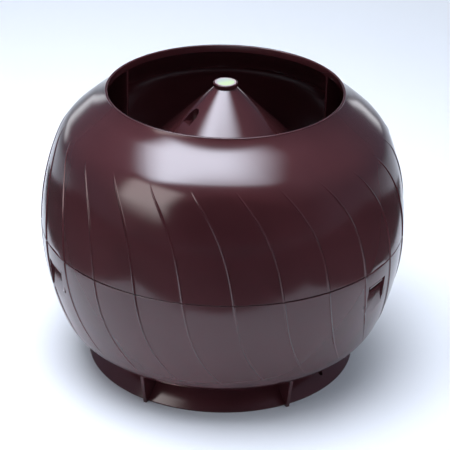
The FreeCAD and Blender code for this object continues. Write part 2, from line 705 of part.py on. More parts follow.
def build_rain_cone():
    """The cone that sheds the rain: tip socket, drip edge, three screw seats and the pocket on its flank."""
    body = new_body("rain_cone")
    edge_inner = "(%s - Sizes.cone_wall)" % CONE_EDGE
    drip_foot = "(%s - Sizes.drip_edge_height)" % cone_height(CONE_EDGE)
    socket = "(Sizes.cap_stem_radius + Sizes.cap_stem_clearance)"
    crown_height = "(%s - Sizes.cone_crown)" % CONE_TIP
    crown_radius = "(Sizes.cone_tip_radius + (Sizes.cone_crown - %s) * %s)" % (
        cone_drop(size("cone_wall")), CONE_SLOPE)
    profile = radial_sketch(body, "ConeProfile", "90")
    draw_outline(profile, [
        (socket, CONE_TIP),
        (size("cone_tip_radius"), CONE_TIP),
        (CONE_EDGE, cone_height(CONE_EDGE)),
        (CONE_EDGE, drip_foot),
        (edge_inner, drip_foot),
        (edge_inner, cone_height(edge_inner, size("cone_wall"))),
        (crown_radius, crown_height),
        (socket, crown_height),
    ])
    revolve(body, profile, "Cone")

    seats = [
        round_pad(body, "SeatBoss", SEAT_HEIGHT, "0", SEAT_PITCH, size("seat_radius"),
                  size("seat_depth"), backwards=True),
        drill(body, "SeatFace", SEAT_HEIGHT, "0", SEAT_PITCH, size("seat_radius"),
              size("seat_depth"), backwards=True),
        drill(body, "SeatBore", "%s - Sizes.seat_floor" % SEAT_HEIGHT, "0", SEAT_PITCH,
              "Sizes.screw_head_radius + Sizes.screw_head_clearance", size("seat_depth")),
        drill(body, "SeatHole", SEAT_HEIGHT, "0", SEAT_PITCH, size("screw_hole_radius"),
              size("seat_depth")),
    ]
    pattern(body, seats, "Seats", size("web_count"))

    floor_height = "(%s - Sizes.pocket_sink)" % cone_height(size("pocket_pitch_radius"))
    well_half = "(Sizes.pocket_radius + Sizes.pocket_wall)"
    well_inner = "(Sizes.pocket_pitch_radius - %s)" % well_half
    well_foot = "(%s - Sizes.pocket_floor)" % floor_height
    mid_wall = "(Sizes.cone_wall / 2)"
    well_outer = "(Sizes.cone_tip_radius + (%s - %s - %s) * %s)" % (
        CONE_TIP, well_foot, cone_drop(mid_wall), CONE_SLOPE)
    well = radial_sketch(body, "PocketWellOutline", size("pocket_azimuth"))
    draw_outline(well, [
        (well_inner, well_foot),
        (well_outer, well_foot),
        (well_inner, cone_height(well_inner, mid_wall)),
    ])
    extrude(body, "Pad", well, "PocketWell", "2 * %s" % well_half, "Symmetric")
    pocket = level_sketch(body, "PocketOutline", floor_height, size("pocket_azimuth"))
    pitch = size("pocket_pitch_radius")
    half = size("pocket_radius")
    draw_outline(pocket, [
        (pitch, "-" + half),
        ("%s + Sizes.cut_reach" % pitch, "-" + half),
        ("%s + Sizes.cut_reach" % pitch, half),
        (pitch, half, half, 1),
        ("%s - %s" % (pitch, half), "0", half, 1),
    ])
    extrude(body, "Pocket", pocket, "Pocket", size("cut_reach"), backwards=True)
    body.Tip = drill(body, "PocketHole", floor_height, size("pocket_azimuth"),
                     size("pocket_pitch_radius"), size("pocket_hole_radius"), "2 * Sizes.pocket_floor")
    return body


def build_cone_cap():
    """The round cap that closes the cone's tip, with a stem below and a shallow recess on top."""
    body = new_body("cone_cap")
    top = "(%s + Sizes.cap_height)" % CONE_TIP
    recess_radius = "(Sizes.disc_radius + Sizes.disc_clearance)"
    recess_floor = "(%s - Sizes.disc_recess)" % top
    profile = radial_sketch(body, "CapProfile", "90")
    draw_outline(profile, [
        ("0", recess_floor),
        ("0", "%s - Sizes.cap_stem_length" % CONE_TIP),
        (size("cap_stem_radius"), "%s - Sizes.cap_stem_length" % CONE_TIP),
        (size("cap_stem_radius"), CONE_TIP),
        (size("cap_radius"), CONE_TIP),
        (size("cap_radius"), top),
        (recess_radius, top),
        (recess_radius, recess_floor),
    ])
    body.Tip = revolve(body, profile, "Cap")
    return body


def build_cap_disc():
    """The thin plain disc that lies in the cap's recess."""
    disc = doc.addObject("Part::Cylinder", "cap_disc")
    disc.Label = "cap_disc"
    disc.setExpression("Radius", size("disc_radius"))
    disc.setExpression("Height", size("disc_thickness"))
    disc.setExpression("Placement.Base.z", "%s + Sizes.cap_height - Sizes.disc_recess" % CONE_TIP)
    return disc


def build_screws(label, pitch_radius, azimuth, seat, points_up, count):
    """A ring of self-tapping screws whose heads bear on the level plane at seat."""
    body = new_body(label)
    along, back = ("+", "-") if points_up else ("-", "+")
    head_end = "%s %s Sizes.screw_head_height" % (seat, back)
    tip = "%s %s Sizes.screw_length" % (seat, along)
    head_edge = "%s + Sizes.screw_head_radius" % pitch_radius
    shank_edge = "%s + Sizes.screw_radius" % pitch_radius
    sketch = radial_sketch(body, "ScrewProfile", azimuth)
    draw_outline(sketch, [
        (pitch_radius, tip),
        (pitch_radius, head_end),
        (head_edge, head_end),
        (head_edge, seat),
        (shank_edge, seat),
        (shank_edge, tip),
    ])
    screw = revolve(body, sketch, "Screw", "Edge1")
    pattern(body, [screw], "Screws", count)
    return body


pieces = [
    build_mounting_collar(),
    build_lower_shell(),
    build_screws("collar_screws", EAR_PITCH, size("fin_azimuth"), EAR_TOP, False, size("ear_count")),
    build_upper_shell(),
    build_rain_cone(),
    build_screws("cone_screws", SEAT_PITCH, "0", "(%s - Sizes.seat_floor)" % SEAT_HEIGHT, True,
                 size("web_count")),
    build_cone_cap(),
    build_cap_disc(),
]
doc.recompute()

for item in doc.Objects:
    if "Invalid" in item.State or "Error" in item.State:
        raise RuntimeError("%s failed: %s" % (item.Name, item.State))
for piece in pieces:
    if piece.Shape.isNull() or not piece.Shape.isValid():
        raise RuntimeError("%s has no valid shape" % piece.Label)

os.makedirs("parts", exist_ok=True)
for piece in pieces:
    piece.Shape.exportStep(os.path.join("parts", piece.Label + ".step"))
    print(piece.Label, len(piece.Shape.Solids), round(piece.Shape.Volume), piece.Shape.BoundBox)
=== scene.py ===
"""The looks of a static vent cowl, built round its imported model.

Sizes are in millimetres and angles in degrees. Azimuths are measured from the front (-Y) and grow towards
+X, and heights from the collar's foot. Meshes are written in metres.
"""
import sys
import logging
import math
from dataclasses import dataclass, field
from enum import Enum
from typing import Iterable, Sequence

import bmesh
import bpy
import numpy as np
from mathutils import Matrix, Vector


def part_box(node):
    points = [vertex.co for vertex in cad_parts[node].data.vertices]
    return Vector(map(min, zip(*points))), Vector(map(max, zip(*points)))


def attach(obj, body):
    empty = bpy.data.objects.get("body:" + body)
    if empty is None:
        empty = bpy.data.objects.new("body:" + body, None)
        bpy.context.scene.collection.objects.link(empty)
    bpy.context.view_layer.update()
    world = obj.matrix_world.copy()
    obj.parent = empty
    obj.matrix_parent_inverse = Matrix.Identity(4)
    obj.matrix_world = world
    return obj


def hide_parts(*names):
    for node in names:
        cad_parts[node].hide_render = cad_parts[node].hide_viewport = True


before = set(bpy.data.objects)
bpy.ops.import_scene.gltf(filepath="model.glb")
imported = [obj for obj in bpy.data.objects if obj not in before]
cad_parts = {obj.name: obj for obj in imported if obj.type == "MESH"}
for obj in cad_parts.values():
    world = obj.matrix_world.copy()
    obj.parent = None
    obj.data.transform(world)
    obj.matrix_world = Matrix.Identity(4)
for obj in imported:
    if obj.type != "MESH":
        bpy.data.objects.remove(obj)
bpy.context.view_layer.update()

MM = 0.001
BODY = "root"
SHARP_ANGLE = 38.0
# How many steps a rounded corner has, and how far a cut reaches past the face that it opens.
CORNER_STEPS = 3
CUT_OVER = 1.0
Colour = tuple[float, float, float]
Point = tuple[float, float]
Place = tuple[float, float, float]

log = logging.getLogger("vent_cowl")


class Merge(Enum):
    """How tools change the piece that they are set against."""

    ADD = "UNION"
    CUT = "DIFFERENCE"


class Way(Enum):
    """The direction in which a flat outline is drawn out, at its azimuth."""

    ACROSS = "tangent"
    UP = "upright"


# Geometry in numbers: outlines, arcs and rounded corners.


def arc(centre: Point, radius: float, start: float, end: float, step: float) -> np.ndarray:
    """Points along an arc, evenly spaced, with both ends.

    Args:
        centre: The arc's centre.
        radius: Its radius.
        start: The angle of its first point above the level.
        end: The angle of its last point.
        step: The most that two points lie apart.

    Returns:
        One row of x and y for each point.
    """
    count = max(2, math.ceil(abs(math.radians(end - start)) * radius / step) + 1)
    angles = np.radians(np.linspace(start, end, count))
    return np.column_stack((centre[0] + radius * np.cos(angles), centre[1] + radius * np.sin(angles)))


def line(start: Point, end: Point, step: float) -> np.ndarray:
    """Points along a straight run, evenly spaced, with both ends.

    Args:
        start: The first point.
        end: The last point.
        step: The most that two points lie apart.

    Returns:
        One row of x and y for each point.
    """
    first, last = np.array(start, float), np.array(end, float)
    count = max(2, math.ceil(np.linalg.norm(last - first) / step) + 1)
    return first + (last - first) * np.linspace(0, 1, count)[:, None]


def rounded(corners: Sequence[tuple[float, ...]], steps: int = CORNER_STEPS) -> np.ndarray:
    """A closed outline whose corners are rounded where they ask for it.

    Args:
        corners: One (x, y) or (x, y, radius) for each corner, in order.
        steps: How many straight steps each rounded corner gets.

    Returns:
        One row of x and y for each point of the outline.
    """
    points: list[np.ndarray] = []
    places = [np.array(corner[:2], float) for corner in corners]
    for index, corner in enumerate(corners):
        here = places[index]
        radius = corner[2] if len(corner) > 2 else 0.0
        if radius <= 0:
            points.append(here)
            continue
        back = places[index - 1] - here
        on = places[(index + 1) % len(places)] - here
        back, on = back / np.linalg.norm(back), on / np.linalg.norm(on)
        half = math.acos(float(np.clip(back @ on, -1, 1))) / 2
        reach = radius / math.tan(half)
        middle = (back + on) / np.linalg.norm(back + on)
        centre = here + middle * radius / math.sin(half)
        first, last = here + back * reach - centre, here + on * reach - centre
        for share in np.linspace(0, 1, steps + 1):
            turned = first * (1 - share) + last * share
            points.append(centre + turned * radius / np.linalg.norm(turned))
    return np.array(points)


def around(x: np.ndarray, across: np.ndarray, z: np.ndarray, azimuth: np.ndarray | float) -> np.ndarray:
    """Places that are given from the axis outwards, across and up, turned to an azimuth.

    Args:
        x: Distances from the axis along the azimuth.
        across: Distances to the side of it.
        z: Heights.
        azimuth: The azimuth, or one for each place.

    Returns:
        One row of x, y and z for each place.
    """
    angle = np.radians(azimuth)
    return np.stack((
        x * np.sin(angle) + across * np.cos(angle),
        across * np.sin(angle) - x * np.cos(angle),
        z + 0 * angle,
    ), axis=-1)


def ring(count: int, first: float = 0.0) -> np.ndarray:
    """The azimuths of places that stand evenly round the axis, from the first on."""
    return first + np.arange(count) * 360.0 / count


# Meshes.


def new_object(name: str, points: np.ndarray, faces: Iterable[Sequence[int]]) -> bpy.types.Object:
    """A mesh object from places in millimetres, with its faces turned outwards.

    Args:
        name: The object's name.
        points: One row of x, y and z for each vertex.
        faces: The vertices of each face, in order.

    Returns:
        The object, linked to the scene.
    """
    mesh = bpy.data.meshes.new(name)
    mesh.from_pydata((points * MM).tolist(), [], [tuple(int(v) for v in face) for face in faces])
    shape = bpy.data.objects.new(name, mesh)
    bpy.context.scene.collection.objects.link(shape)
    work = bmesh.new()
    work.from_mesh(mesh)
    bmesh.ops.recalc_face_normals(work, faces=work.faces)
    work.to_mesh(mesh)
    work.free()
    return shape


def grid_faces(rows: int, columns: int) -> np.ndarray:
    """The four-sided faces of a grid that is closed along its rows and round its columns.

    Args:
        rows: How many points a section has.
        columns: How many sections there are.

    Returns:
        One row of four vertices for each face.
    """
    row, column = np.divmod(np.arange(rows * columns), columns)
    next_row, next_column = (row + 1) % rows, (column + 1) % columns
    return np.stack((row * columns + column, row * columns + next_column,
                     next_row * columns + next_column, next_row * columns + column), axis=1)


def revolve(name: str, outline: np.ndarray, columns: int, centre: Point = (0.0, 0.0)) -> bpy.types.Object:
    """Turns a closed outline once round an upright axis.

    Args:
        name: The object's name.
        outline: Radius and height of each point of the section. Points on the axis are joined there.
        columns: How many sections the turn has.
        centre: Where the axis stands.

    Returns:
        The turned object.
    """
    azimuths = ring(columns)
    radius, height = outline[:, 0, None], outline[:, 1, None]
    points = around(radius + 0 * azimuths, 0 * radius, height + 0 * azimuths, azimuths)
    points = points + np.array((*centre, 0.0))
    shape = new_object(name, points.reshape(-1, 3), grid_faces(len(outline), columns))
    tidy(shape)
    return shape


def draw_out(name: str, outline: np.ndarray, way: Way, low: float, high: float, azimuth: float = 0.0,
             bevel: float = 0.0) -> bpy.types.Object:
    """Draws a flat outline out to a solid at an azimuth.

    Args:
        name: The object's name.
        outline: The outline's points: outwards and up for ACROSS, outwards and across for UP.
        way: The direction in which it is drawn out.
        low: Where the solid starts in that direction.
        high: Where it ends.
        azimuth: The azimuth that it is turned to.
        bevel: How much its edges are rounded.

    Returns:
        The solid.
    """
    count = len(outline)
    first = np.tile(outline[:, 0], 2)
    second = np.tile(outline[:, 1], 2)
    drawn = np.repeat((low, high), count)
    order = {Way.ACROSS: (first, drawn, second), Way.UP: (first, second, drawn)}
    points = around(*order[way], azimuth)
    side = np.arange(count)
    after = (side + 1) % count
    faces: list[Sequence[int]] = [side[::-1], side + count]
    faces += np.stack((side, after, after + count, side + count), axis=1).tolist()
    shape = new_object(name, points, faces)
    if bevel > 0:
        round_edges(shape, bevel)
    return shape


def draw_ring(azimuths: Iterable[float], name: str, outline: np.ndarray, way: Way, low: float,
              high: float, bevel: float = 0.0) -> list[bpy.types.Object]:
    """Draws a flat outline out to one solid at each azimuth.

    Args:
        azimuths: Where the solids stand.
        name: Their name.
        outline: The outline's points.
        way: The direction in which it is drawn out.
        low: Where each solid starts in that direction.
        high: Where it ends.
        bevel: How much the edges are rounded.

    Returns:
        The solids.
    """
    return [draw_out(name, outline, way, low, high, azimuth, bevel) for azimuth in azimuths]


def circle(x: float, y: float, radius: float, sides: int = 48) -> np.ndarray:
    """The points of a circle.

    Args:
        x: Its centre's first place.
        y: Its centre's second place.
        radius: Its radius.
        sides: How many points it has.

    Returns:
        One row of two numbers for each point.
    """
    angle = np.arange(sides) * 2 * math.pi / sides
    return np.column_stack((x + radius * np.cos(angle), y + radius * np.sin(angle)))


def round_edges(shape: bpy.types.Object, width: float, segments: int = 2) -> None:
    """Rounds the sharp edges of a solid.

    Args:
        shape: The solid.
        width: How far the rounding reaches.
        segments: How many steps it has.
    """
    work = bmesh.new()
    work.from_mesh(shape.data)
    limit = math.radians(SHARP_ANGLE)
    edges = [edge for edge in work.edges if edge.calc_face_angle(0.0) > limit]
    bmesh.ops.bevel(work, geom=edges, offset=width * MM, segments=segments, profile=0.5, affect="EDGES",
                    clamp_overlap=True)
    work.to_mesh(shape.data)
    work.free()


def tidy(shape: bpy.types.Object, distance: float = 0.002) -> None:
    """Joins vertices that share a place and drops faces without area.

    Args:
        shape: The object.
        distance: How near two vertices are joined.
    """
    work = bmesh.new()
    work.from_mesh(shape.data)
    bmesh.ops.remove_doubles(work, verts=work.verts, dist=distance * MM)
    bmesh.ops.dissolve_degenerate(work, edges=work.edges, dist=distance * MM / 2)
    bmesh.ops.delete(work, geom=[edge for edge in work.edges if not edge.link_faces], context="EDGES")
    bmesh.ops.recalc_face_normals(work, faces=work.faces)
    work.to_mesh(shape.data)
    work.free()


def merge(base: bpy.types.Object, tools: Sequence[bpy.types.Object], how: Merge) -> None:
    """Adds solids to a piece or cuts them out of it, and removes them.

    Args:
        base: The piece that is changed.
        tools: The solids.
        how: Whether they are added or cut.
    """
    group = bpy.data.collections.new("tools")
    bpy.context.scene.collection.children.link(group)
    for tool in tools:
        group.objects.link(tool)
    modifier = base.modifiers.new("merge", "BOOLEAN")
    modifier.operation = how.value
    modifier.solver = "MANIFOLD"
    modifier.operand_type = "COLLECTION"
    modifier.collection = group
    bpy.context.view_layer.update()
    result = bpy.data.meshes.new_from_object(base.evaluated_get(bpy.context.evaluated_depsgraph_get()))
    base.modifiers.clear()
    spent = base.data
    base.data = result
    bpy.data.meshes.remove(spent)
    result.name = base.name
    for tool in tools:
        mesh = tool.data
        bpy.data.objects.remove(tool)
        bpy.data.meshes.remove(mesh)
    bpy.data.collections.remove(group)
    tidy(base)


def shade(shape: bpy.types.Object, even_flats: bool = False) -> None:
    """Shades a piece smoothly between its sharp edges.

    Args:
        shape: The piece.
        even_flats: Whether large faces keep their own normals up to the roundings beside them.
    """
    shape.data.shade_smooth()
    shape.data.set_sharp_from_angle(angle=math.radians(SHARP_ANGLE))
    if even_flats:
        modifier = shape.modifiers.new("even_flats", "WEIGHTED_NORMAL")
        modifier.keep_sharp = True


# Shader nodes.


class Canvas:
    """A node tree, with short calls to add and join its nodes."""

    # The colour sockets of a Mix node, which has several of each name.
    FIRST_COLOUR = 6
    SECOND_COLOUR = 7
    MIXED_COLOUR = 2

    def __init__(self, tree: bpy.types.NodeTree) -> None:
        """Clears the tree.

        Args:
            tree: A material's, world's or group's tree.
        """
        self.tree = tree
        tree.nodes.clear()

    def add(self, kind: str, settings: dict[str, object] | None = None,
            values: dict[str | int, object] | None = None) -> bpy.types.Node:
        """Adds a node.

        Args:
            kind: The node's type, without its ShaderNode.
            settings: Properties of the node.
            values: What its unlinked input sockets hold.

        Returns:
            The node.
        """
        node = self.tree.nodes.new(kind if kind.startswith("Node") else "ShaderNode" + kind)
        for key, value in (settings or {}).items():
            setattr(node, key, value)
        for key, value in (values or {}).items():
            node.inputs[key].default_value = value
        return node

    def join(self, source: bpy.types.NodeSocket, node: bpy.types.Node, socket: str | int) -> None:
        """Joins an output to a node's input."""
        self.tree.links.new(source, node.inputs[socket])

    def maths(self, operation: str, *terms: bpy.types.NodeSocket | float, clamp: bool = False
              ) -> bpy.types.NodeSocket:
        """Adds a sum of one, two or three terms.

        Args:
            operation: The operation of the Math node.
            terms: Sockets or plain numbers.
            clamp: Whether the result stays between 0 and 1.

        Returns:
            The result's socket.
        """
        node = self.add("Math", {"operation": operation, "use_clamp": clamp})
        for index, term in enumerate(terms):
            if isinstance(term, bpy.types.NodeSocket):
                self.join(term, node, index)
            else:
                node.inputs[index].default_value = term
        return node.outputs[0]

    def ramp(self, value: bpy.types.NodeSocket, low: float, high: float) -> bpy.types.NodeSocket:
        """A smooth step from 0 at low to 1 at high.

        Args:
            value: What is measured.
            low: Where the step starts.
            high: Where it ends.

        Returns:
            The result's socket.
        """
        node = self.add("MapRange", {"interpolation_type": "SMOOTHSTEP"},
                        {"From Min": low, "From Max": high})
        self.join(value, node, "Value")
        return node.outputs["Result"]

    def blend(self, share: bpy.types.NodeSocket, first: bpy.types.NodeSocket | Colour,
              second: bpy.types.NodeSocket | Colour) -> bpy.types.NodeSocket:
        """Mixes two colours by a share.

        Args:
            share: 0 for the first colour and 1 for the second.
            first: A colour or its socket.
            second: A colour or its socket.

        Returns:
            The mixed colour's socket.
        """
        node = self.add("Mix", {"data_type": "RGBA"})
        self.join(share, node, "Factor")
        for index, colour in ((self.FIRST_COLOUR, first), (self.SECOND_COLOUR, second)):
            if isinstance(colour, bpy.types.NodeSocket):
                self.join(colour, node, index)
            else:
                node.inputs[index].default_value = (*colour, 1.0)
        return node.outputs[self.MIXED_COLOUR]

    def noise(self, place: bpy.types.NodeSocket, scale: bpy.types.NodeSocket | float, detail: float = 2.0
              ) -> bpy.types.NodeSocket:
        """Soft noise at a place.

        Args:
            place: The place's socket.
            scale: How many lumps a metre has.
            detail: How many finer layers it has.

        Returns:
            The socket of a value about 0.5.
        """
        node = self.add("TexNoise", {}, {"Detail": detail})
        self.join(place, node, "Vector")
        if isinstance(scale, bpy.types.NodeSocket):
            self.join(scale, node, "Scale")
        else:
            node.inputs["Scale"].default_value = scale
        return node.outputs["Fac"]

    def swing(self, place: bpy.types.NodeSocket, scale: bpy.types.NodeSocket | float
              ) -> bpy.types.NodeSocket:
        """Plain soft noise at a place, which swings about 0."""
        return self.maths("SUBTRACT", self.noise(place, scale, 1.0), 0.5)


def new_group(name: str, inputs: dict[str, float], outputs: Sequence[str]
              ) -> tuple[Canvas, bpy.types.Node, bpy.types.Node]:
    """An empty node group with number sockets.

    Args:
        name: The group's name.
        inputs: The inputs' names and usual values.
        outputs: The outputs' names.

    Returns:
        Its canvas, its input node and its output node.
    """
    tree = bpy.data.node_groups.new(name, "ShaderNodeTree")
    for key, value in inputs.items():
        socket = tree.interface.new_socket(key, in_out="INPUT", socket_type="NodeSocketFloat")
        socket.default_value = value
    for key in outputs:
        tree.interface.new_socket(key, in_out="OUTPUT", socket_type="NodeSocketFloat")
    canvas = Canvas(tree)
    return canvas, canvas.add("NodeGroupInput"), canvas.add("NodeGroupOutput")


def moulding_waves() -> bpy.types.NodeTree:
    """The faint long waves and the fine grain that a moulded face has, as a height in metres.

    Returns:
        The group: Wave Depth, Wave Length and Grain Depth in millimetres give Height.
    """
    canvas, given, result = new_group(
        "moulding_waves", {"Wave Depth": 0.02, "Wave Length": 40.0, "Grain Depth": 0.001}, ["Height"])
    place = canvas.add("TexCoord").outputs["Object"]
    per_metre = canvas.maths("DIVIDE", 1 / MM, given.outputs["Wave Length"])
    grains_per_metre = 700.0
    deep = canvas.maths("MULTIPLY", canvas.swing(place, per_metre), given.outputs["Wave Depth"])
    fine = canvas.maths("MULTIPLY", canvas.swing(place, grains_per_metre), given.outputs["Grain Depth"])
    both = canvas.maths("ADD", deep, fine)
    canvas.join(canvas.maths("MULTIPLY", both, MM), result, "Height")
    return canvas.tree


def handling_marks() -> bpy.types.NodeTree:
    """Fine scuffs and dull smears from handling.

    Returns:
        The group: Amount gives Mask.
    """
    canvas, given, result = new_group("handling_marks", {"Amount": 0.5}, ["Mask"])
    place = canvas.add("TexCoord").outputs["Object"]
    smears_per_metre, smear_strength = 30.0, 0.6
    scuff_turn, scuffs_per_metre = (0.4, 0.9, 0.3), (900.0, 60.0, 60.0)
    smears = canvas.ramp(canvas.noise(place, smears_per_metre, 4.0), 0.5, 0.75)
    stretched = canvas.add("Mapping", {}, {"Rotation": scuff_turn, "Scale": scuffs_per_metre})
    canvas.join(place, stretched, "Vector")
    scuffs = canvas.ramp(canvas.noise(stretched.outputs["Vector"], 1.0, 3.0), 0.66, 0.74)
    marks = canvas.maths("MAXIMUM", canvas.maths("MULTIPLY", smears, smear_strength), scuffs)
    canvas.join(canvas.maths("MULTIPLY", marks, given.outputs["Amount"], clamp=True), result, "Mask")
    return canvas.tree


def settled_dust() -> bpy.types.NodeTree:
    """Dust that settles on what faces upwards.

    Returns:
        The group: Amount gives Mask.
    """
    canvas, given, result = new_group("settled_dust", {"Amount": 0.2}, ["Mask"])
    place = canvas.add("TexCoord").outputs["Object"]
    facing = canvas.add("SeparateXYZ")
    canvas.join(canvas.add("NewGeometry").outputs["Normal"], facing, "Vector")
    specks_per_metre, clouds_per_metre, cloud_strength = 450.0, 18.0, 0.5
    level = canvas.ramp(facing.outputs["Z"], 0.3, 1.0)
    specks = canvas.ramp(canvas.noise(place, specks_per_metre, 6.0), 0.45, 0.8)
    clouds = canvas.ramp(canvas.noise(place, clouds_per_metre, 3.0), 0.3, 0.8)
    both = canvas.maths("ADD", canvas.maths("MULTIPLY", clouds, cloud_strength), specks)
    dust = canvas.maths("MULTIPLY", level, both)
    canvas.join(canvas.maths("MULTIPLY", dust, given.outputs["Amount"], clamp=True), result, "Mask")
    return canvas.tree


@dataclass(frozen=True)
class Effects:
    """The surface effects that the finishes share."""

    waves: bpy.types.NodeTree
    marks: bpy.types.NodeTree
    dust: bpy.types.NodeTree

    @classmethod
    def make(cls) -> "Effects":
        """Builds each effect once."""
        return cls(moulding_waves(), handling_marks(), settled_dust())


def start_material(name: str) -> tuple[bpy.types.Material, Canvas, bpy.types.Node]:
    """A material with an output and a Principled shader.

    Args:
        name: The material's name.

    Returns:
        The material, its canvas and the shader.
    """
    material = bpy.data.materials.new(name)
    material.use_nodes = True
    canvas = Canvas(material.node_tree)
    shader = canvas.add("BsdfPrincipled")
    canvas.join(shader.outputs["BSDF"], canvas.add("OutputMaterial"), "Surface")
    return material, canvas, shader


def use_group(canvas: Canvas, tree: bpy.types.NodeTree, values: dict[str, float]) -> bpy.types.Node:
    """Places a node group in a material with its own values."""
    return canvas.add("Group", {"node_tree": tree}, dict(values))


def bump(canvas: Canvas, shader: bpy.types.Node, height: bpy.types.NodeSocket) -> None:
    """Tilts a shader's normals by a relief.

    Args:
        canvas: The material's canvas.
        shader: The shader.
        height: The relief's height in metres.
    """
    node = canvas.add("Bump", {}, {"Strength": 1.0, "Distance": 1.0})
    canvas.join(height, node, "Height")
    canvas.join(node.outputs["Normal"], shader, "Normal")


@dataclass(frozen=True)
class Finish:
    """What every finish has: its gloss, its waves and grain in millimetres, and its marks and dust."""

    name: str
    roughness: float
    worn_roughness: float
    wave_depth: float
    wave_length: float
    grain_depth: float
    marks: float
    dust: float

    def masks(self, canvas: Canvas, effects: Effects
              ) -> tuple[bpy.types.NodeSocket, bpy.types.NodeSocket]:
        """How marked and how dusty each place is.

        Args:
            canvas: The material's canvas.
            effects: The shared surface effects.

        Returns:
            The sockets of the marks' mask and of the dust's mask.
        """
        marks = use_group(canvas, effects.marks, {"Amount": self.marks}).outputs["Mask"]
        dust = use_group(canvas, effects.dust, {"Amount": self.dust}).outputs["Mask"]
        return marks, dust

    def surface(self, canvas: Canvas, shader: bpy.types.Node, effects: Effects,
                dull: bpy.types.NodeSocket) -> None:
        """Gives a shader the finish's gloss and relief.

        Args:
            canvas: The material's canvas.
            shader: The shader.
            effects: The shared surface effects.
            dull: Where the face has lost its gloss.
        """
        spread = self.worn_roughness - self.roughness
        canvas.join(canvas.maths("MULTIPLY_ADD", dull, spread, self.roughness), shader, "Roughness")
        waves = use_group(canvas, effects.waves, {
            "Wave Depth": self.wave_depth,
            "Wave Length": self.wave_length,
            "Grain Depth": self.grain_depth,
        })
        bump(canvas, shader, waves.outputs["Height"])


@dataclass(frozen=True)
class PlasticFinish(Finish):
    """Glossy plastic, coloured through, as it comes from the mould."""

    colour: Colour = (0.067, 0.0190, 0.0230)
    deep_colour: Colour = (0.055, 0.0150, 0.0185)
    dust_colour: Colour = (0.26, 0.22, 0.22)
    flows_per_metre: float = 9.0
    roughness: float = 0.15
    worn_roughness: float = 0.3
    wave_depth: float = 0.045
    wave_length: float = 45.0
    grain_depth: float = 0.0
    marks: float = 0.15
    dust: float = 0.006

    def material(self, effects: Effects) -> bpy.types.Material:
        """Builds the material.

        Args:
            effects: The shared surface effects.

        Returns:
            The material.
        """
        material, canvas, shader = start_material(self.name)
        place = canvas.add("TexCoord").outputs["Object"]
        flow = canvas.ramp(canvas.noise(place, self.flows_per_metre, 3.0), 0.35, 0.65)
        body = canvas.blend(flow, self.colour, self.deep_colour)
        marks, dust = self.masks(canvas, effects)
        canvas.join(canvas.blend(dust, body, self.dust_colour), shader, "Base Color")
        self.surface(canvas, shader, effects, canvas.maths("MAXIMUM", marks, dust))
        return material


@dataclass(frozen=True)
class SteelFinish(Finish):
    """Bright plated steel, turned and pressed."""

    colour: Colour = (0.62, 0.61, 0.6)
    stain: Colour = (0.4, 0.38, 0.35)
    roughness: float = 0.28
    worn_roughness: float = 0.5
    wave_depth: float = 0.0
    wave_length: float = 10.0
    grain_depth: float = 0.002
    marks: float = 1.0
    dust: float = 0.1

    def material(self, effects: Effects) -> bpy.types.Material:
        """Builds the material.

        Args:
            effects: The shared surface effects.

        Returns:
            The material.
        """
        material, canvas, shader = start_material(self.name)
        shader.inputs["Metallic"].default_value = 1.0
        marks, dust = self.masks(canvas, effects)
        stained = canvas.maths("MAXIMUM", marks, dust)
        canvas.join(canvas.blend(stained, self.colour, self.stain), shader, "Base Color")
        self.surface(canvas, shader, effects, marks)
        return material


@dataclass(frozen=True)
class DiscFinish(Finish):
    """A plain printed film: a pale green field that fades to white, with a pale border."""

    green: Colour = (0.28, 0.37, 0.215)
    white: Colour = (0.24, 0.29, 0.275)
    border: Colour = (0.25, 0.21, 0.23)
    field_radius: float = 7.4
    border_blur: float = 0.2
    fade: float = 5.0
    fade_lean: float = -0.6
    roughness: float = 0.38
    worn_roughness: float = 0.58
    wave_depth: float = 0.01
    wave_length: float = 6.0
    grain_depth: float = 0.0005
    marks: float = 0.5
    dust: float = 0.12

    def material(self, effects: Effects) -> bpy.types.Material:
        """Builds the material.

        Args:
            effects: The shared surface effects.

        Returns:
            The material.
        """
        material, canvas, shader = start_material(self.name)
        parts = canvas.add("SeparateXYZ")
        canvas.join(canvas.add("TexCoord").outputs["Object"], parts, "Vector")
        x, y = parts.outputs["X"], parts.outputs["Y"]
        reach = canvas.maths("SQRT", canvas.maths("MULTIPLY_ADD", x, x, canvas.maths("MULTIPLY", y, y)))
        across = canvas.maths("MULTIPLY_ADD", x, self.fade_lean, y)
        back = canvas.ramp(across, -self.fade * MM / 2, self.fade * MM)
        printed = canvas.blend(back, self.green, self.white)
        blur = self.border_blur
        edge = canvas.ramp(reach, (self.field_radius - blur) * MM, (self.field_radius + blur) * MM)
        marks, dust = self.masks(canvas, effects)
        bordered = canvas.blend(edge, printed, self.border)
        canvas.join(canvas.blend(dust, bordered, self.border), shader, "Base Color")
        self.surface(canvas, shader, effects, marks)
        return material


# The cowl's own sizes.


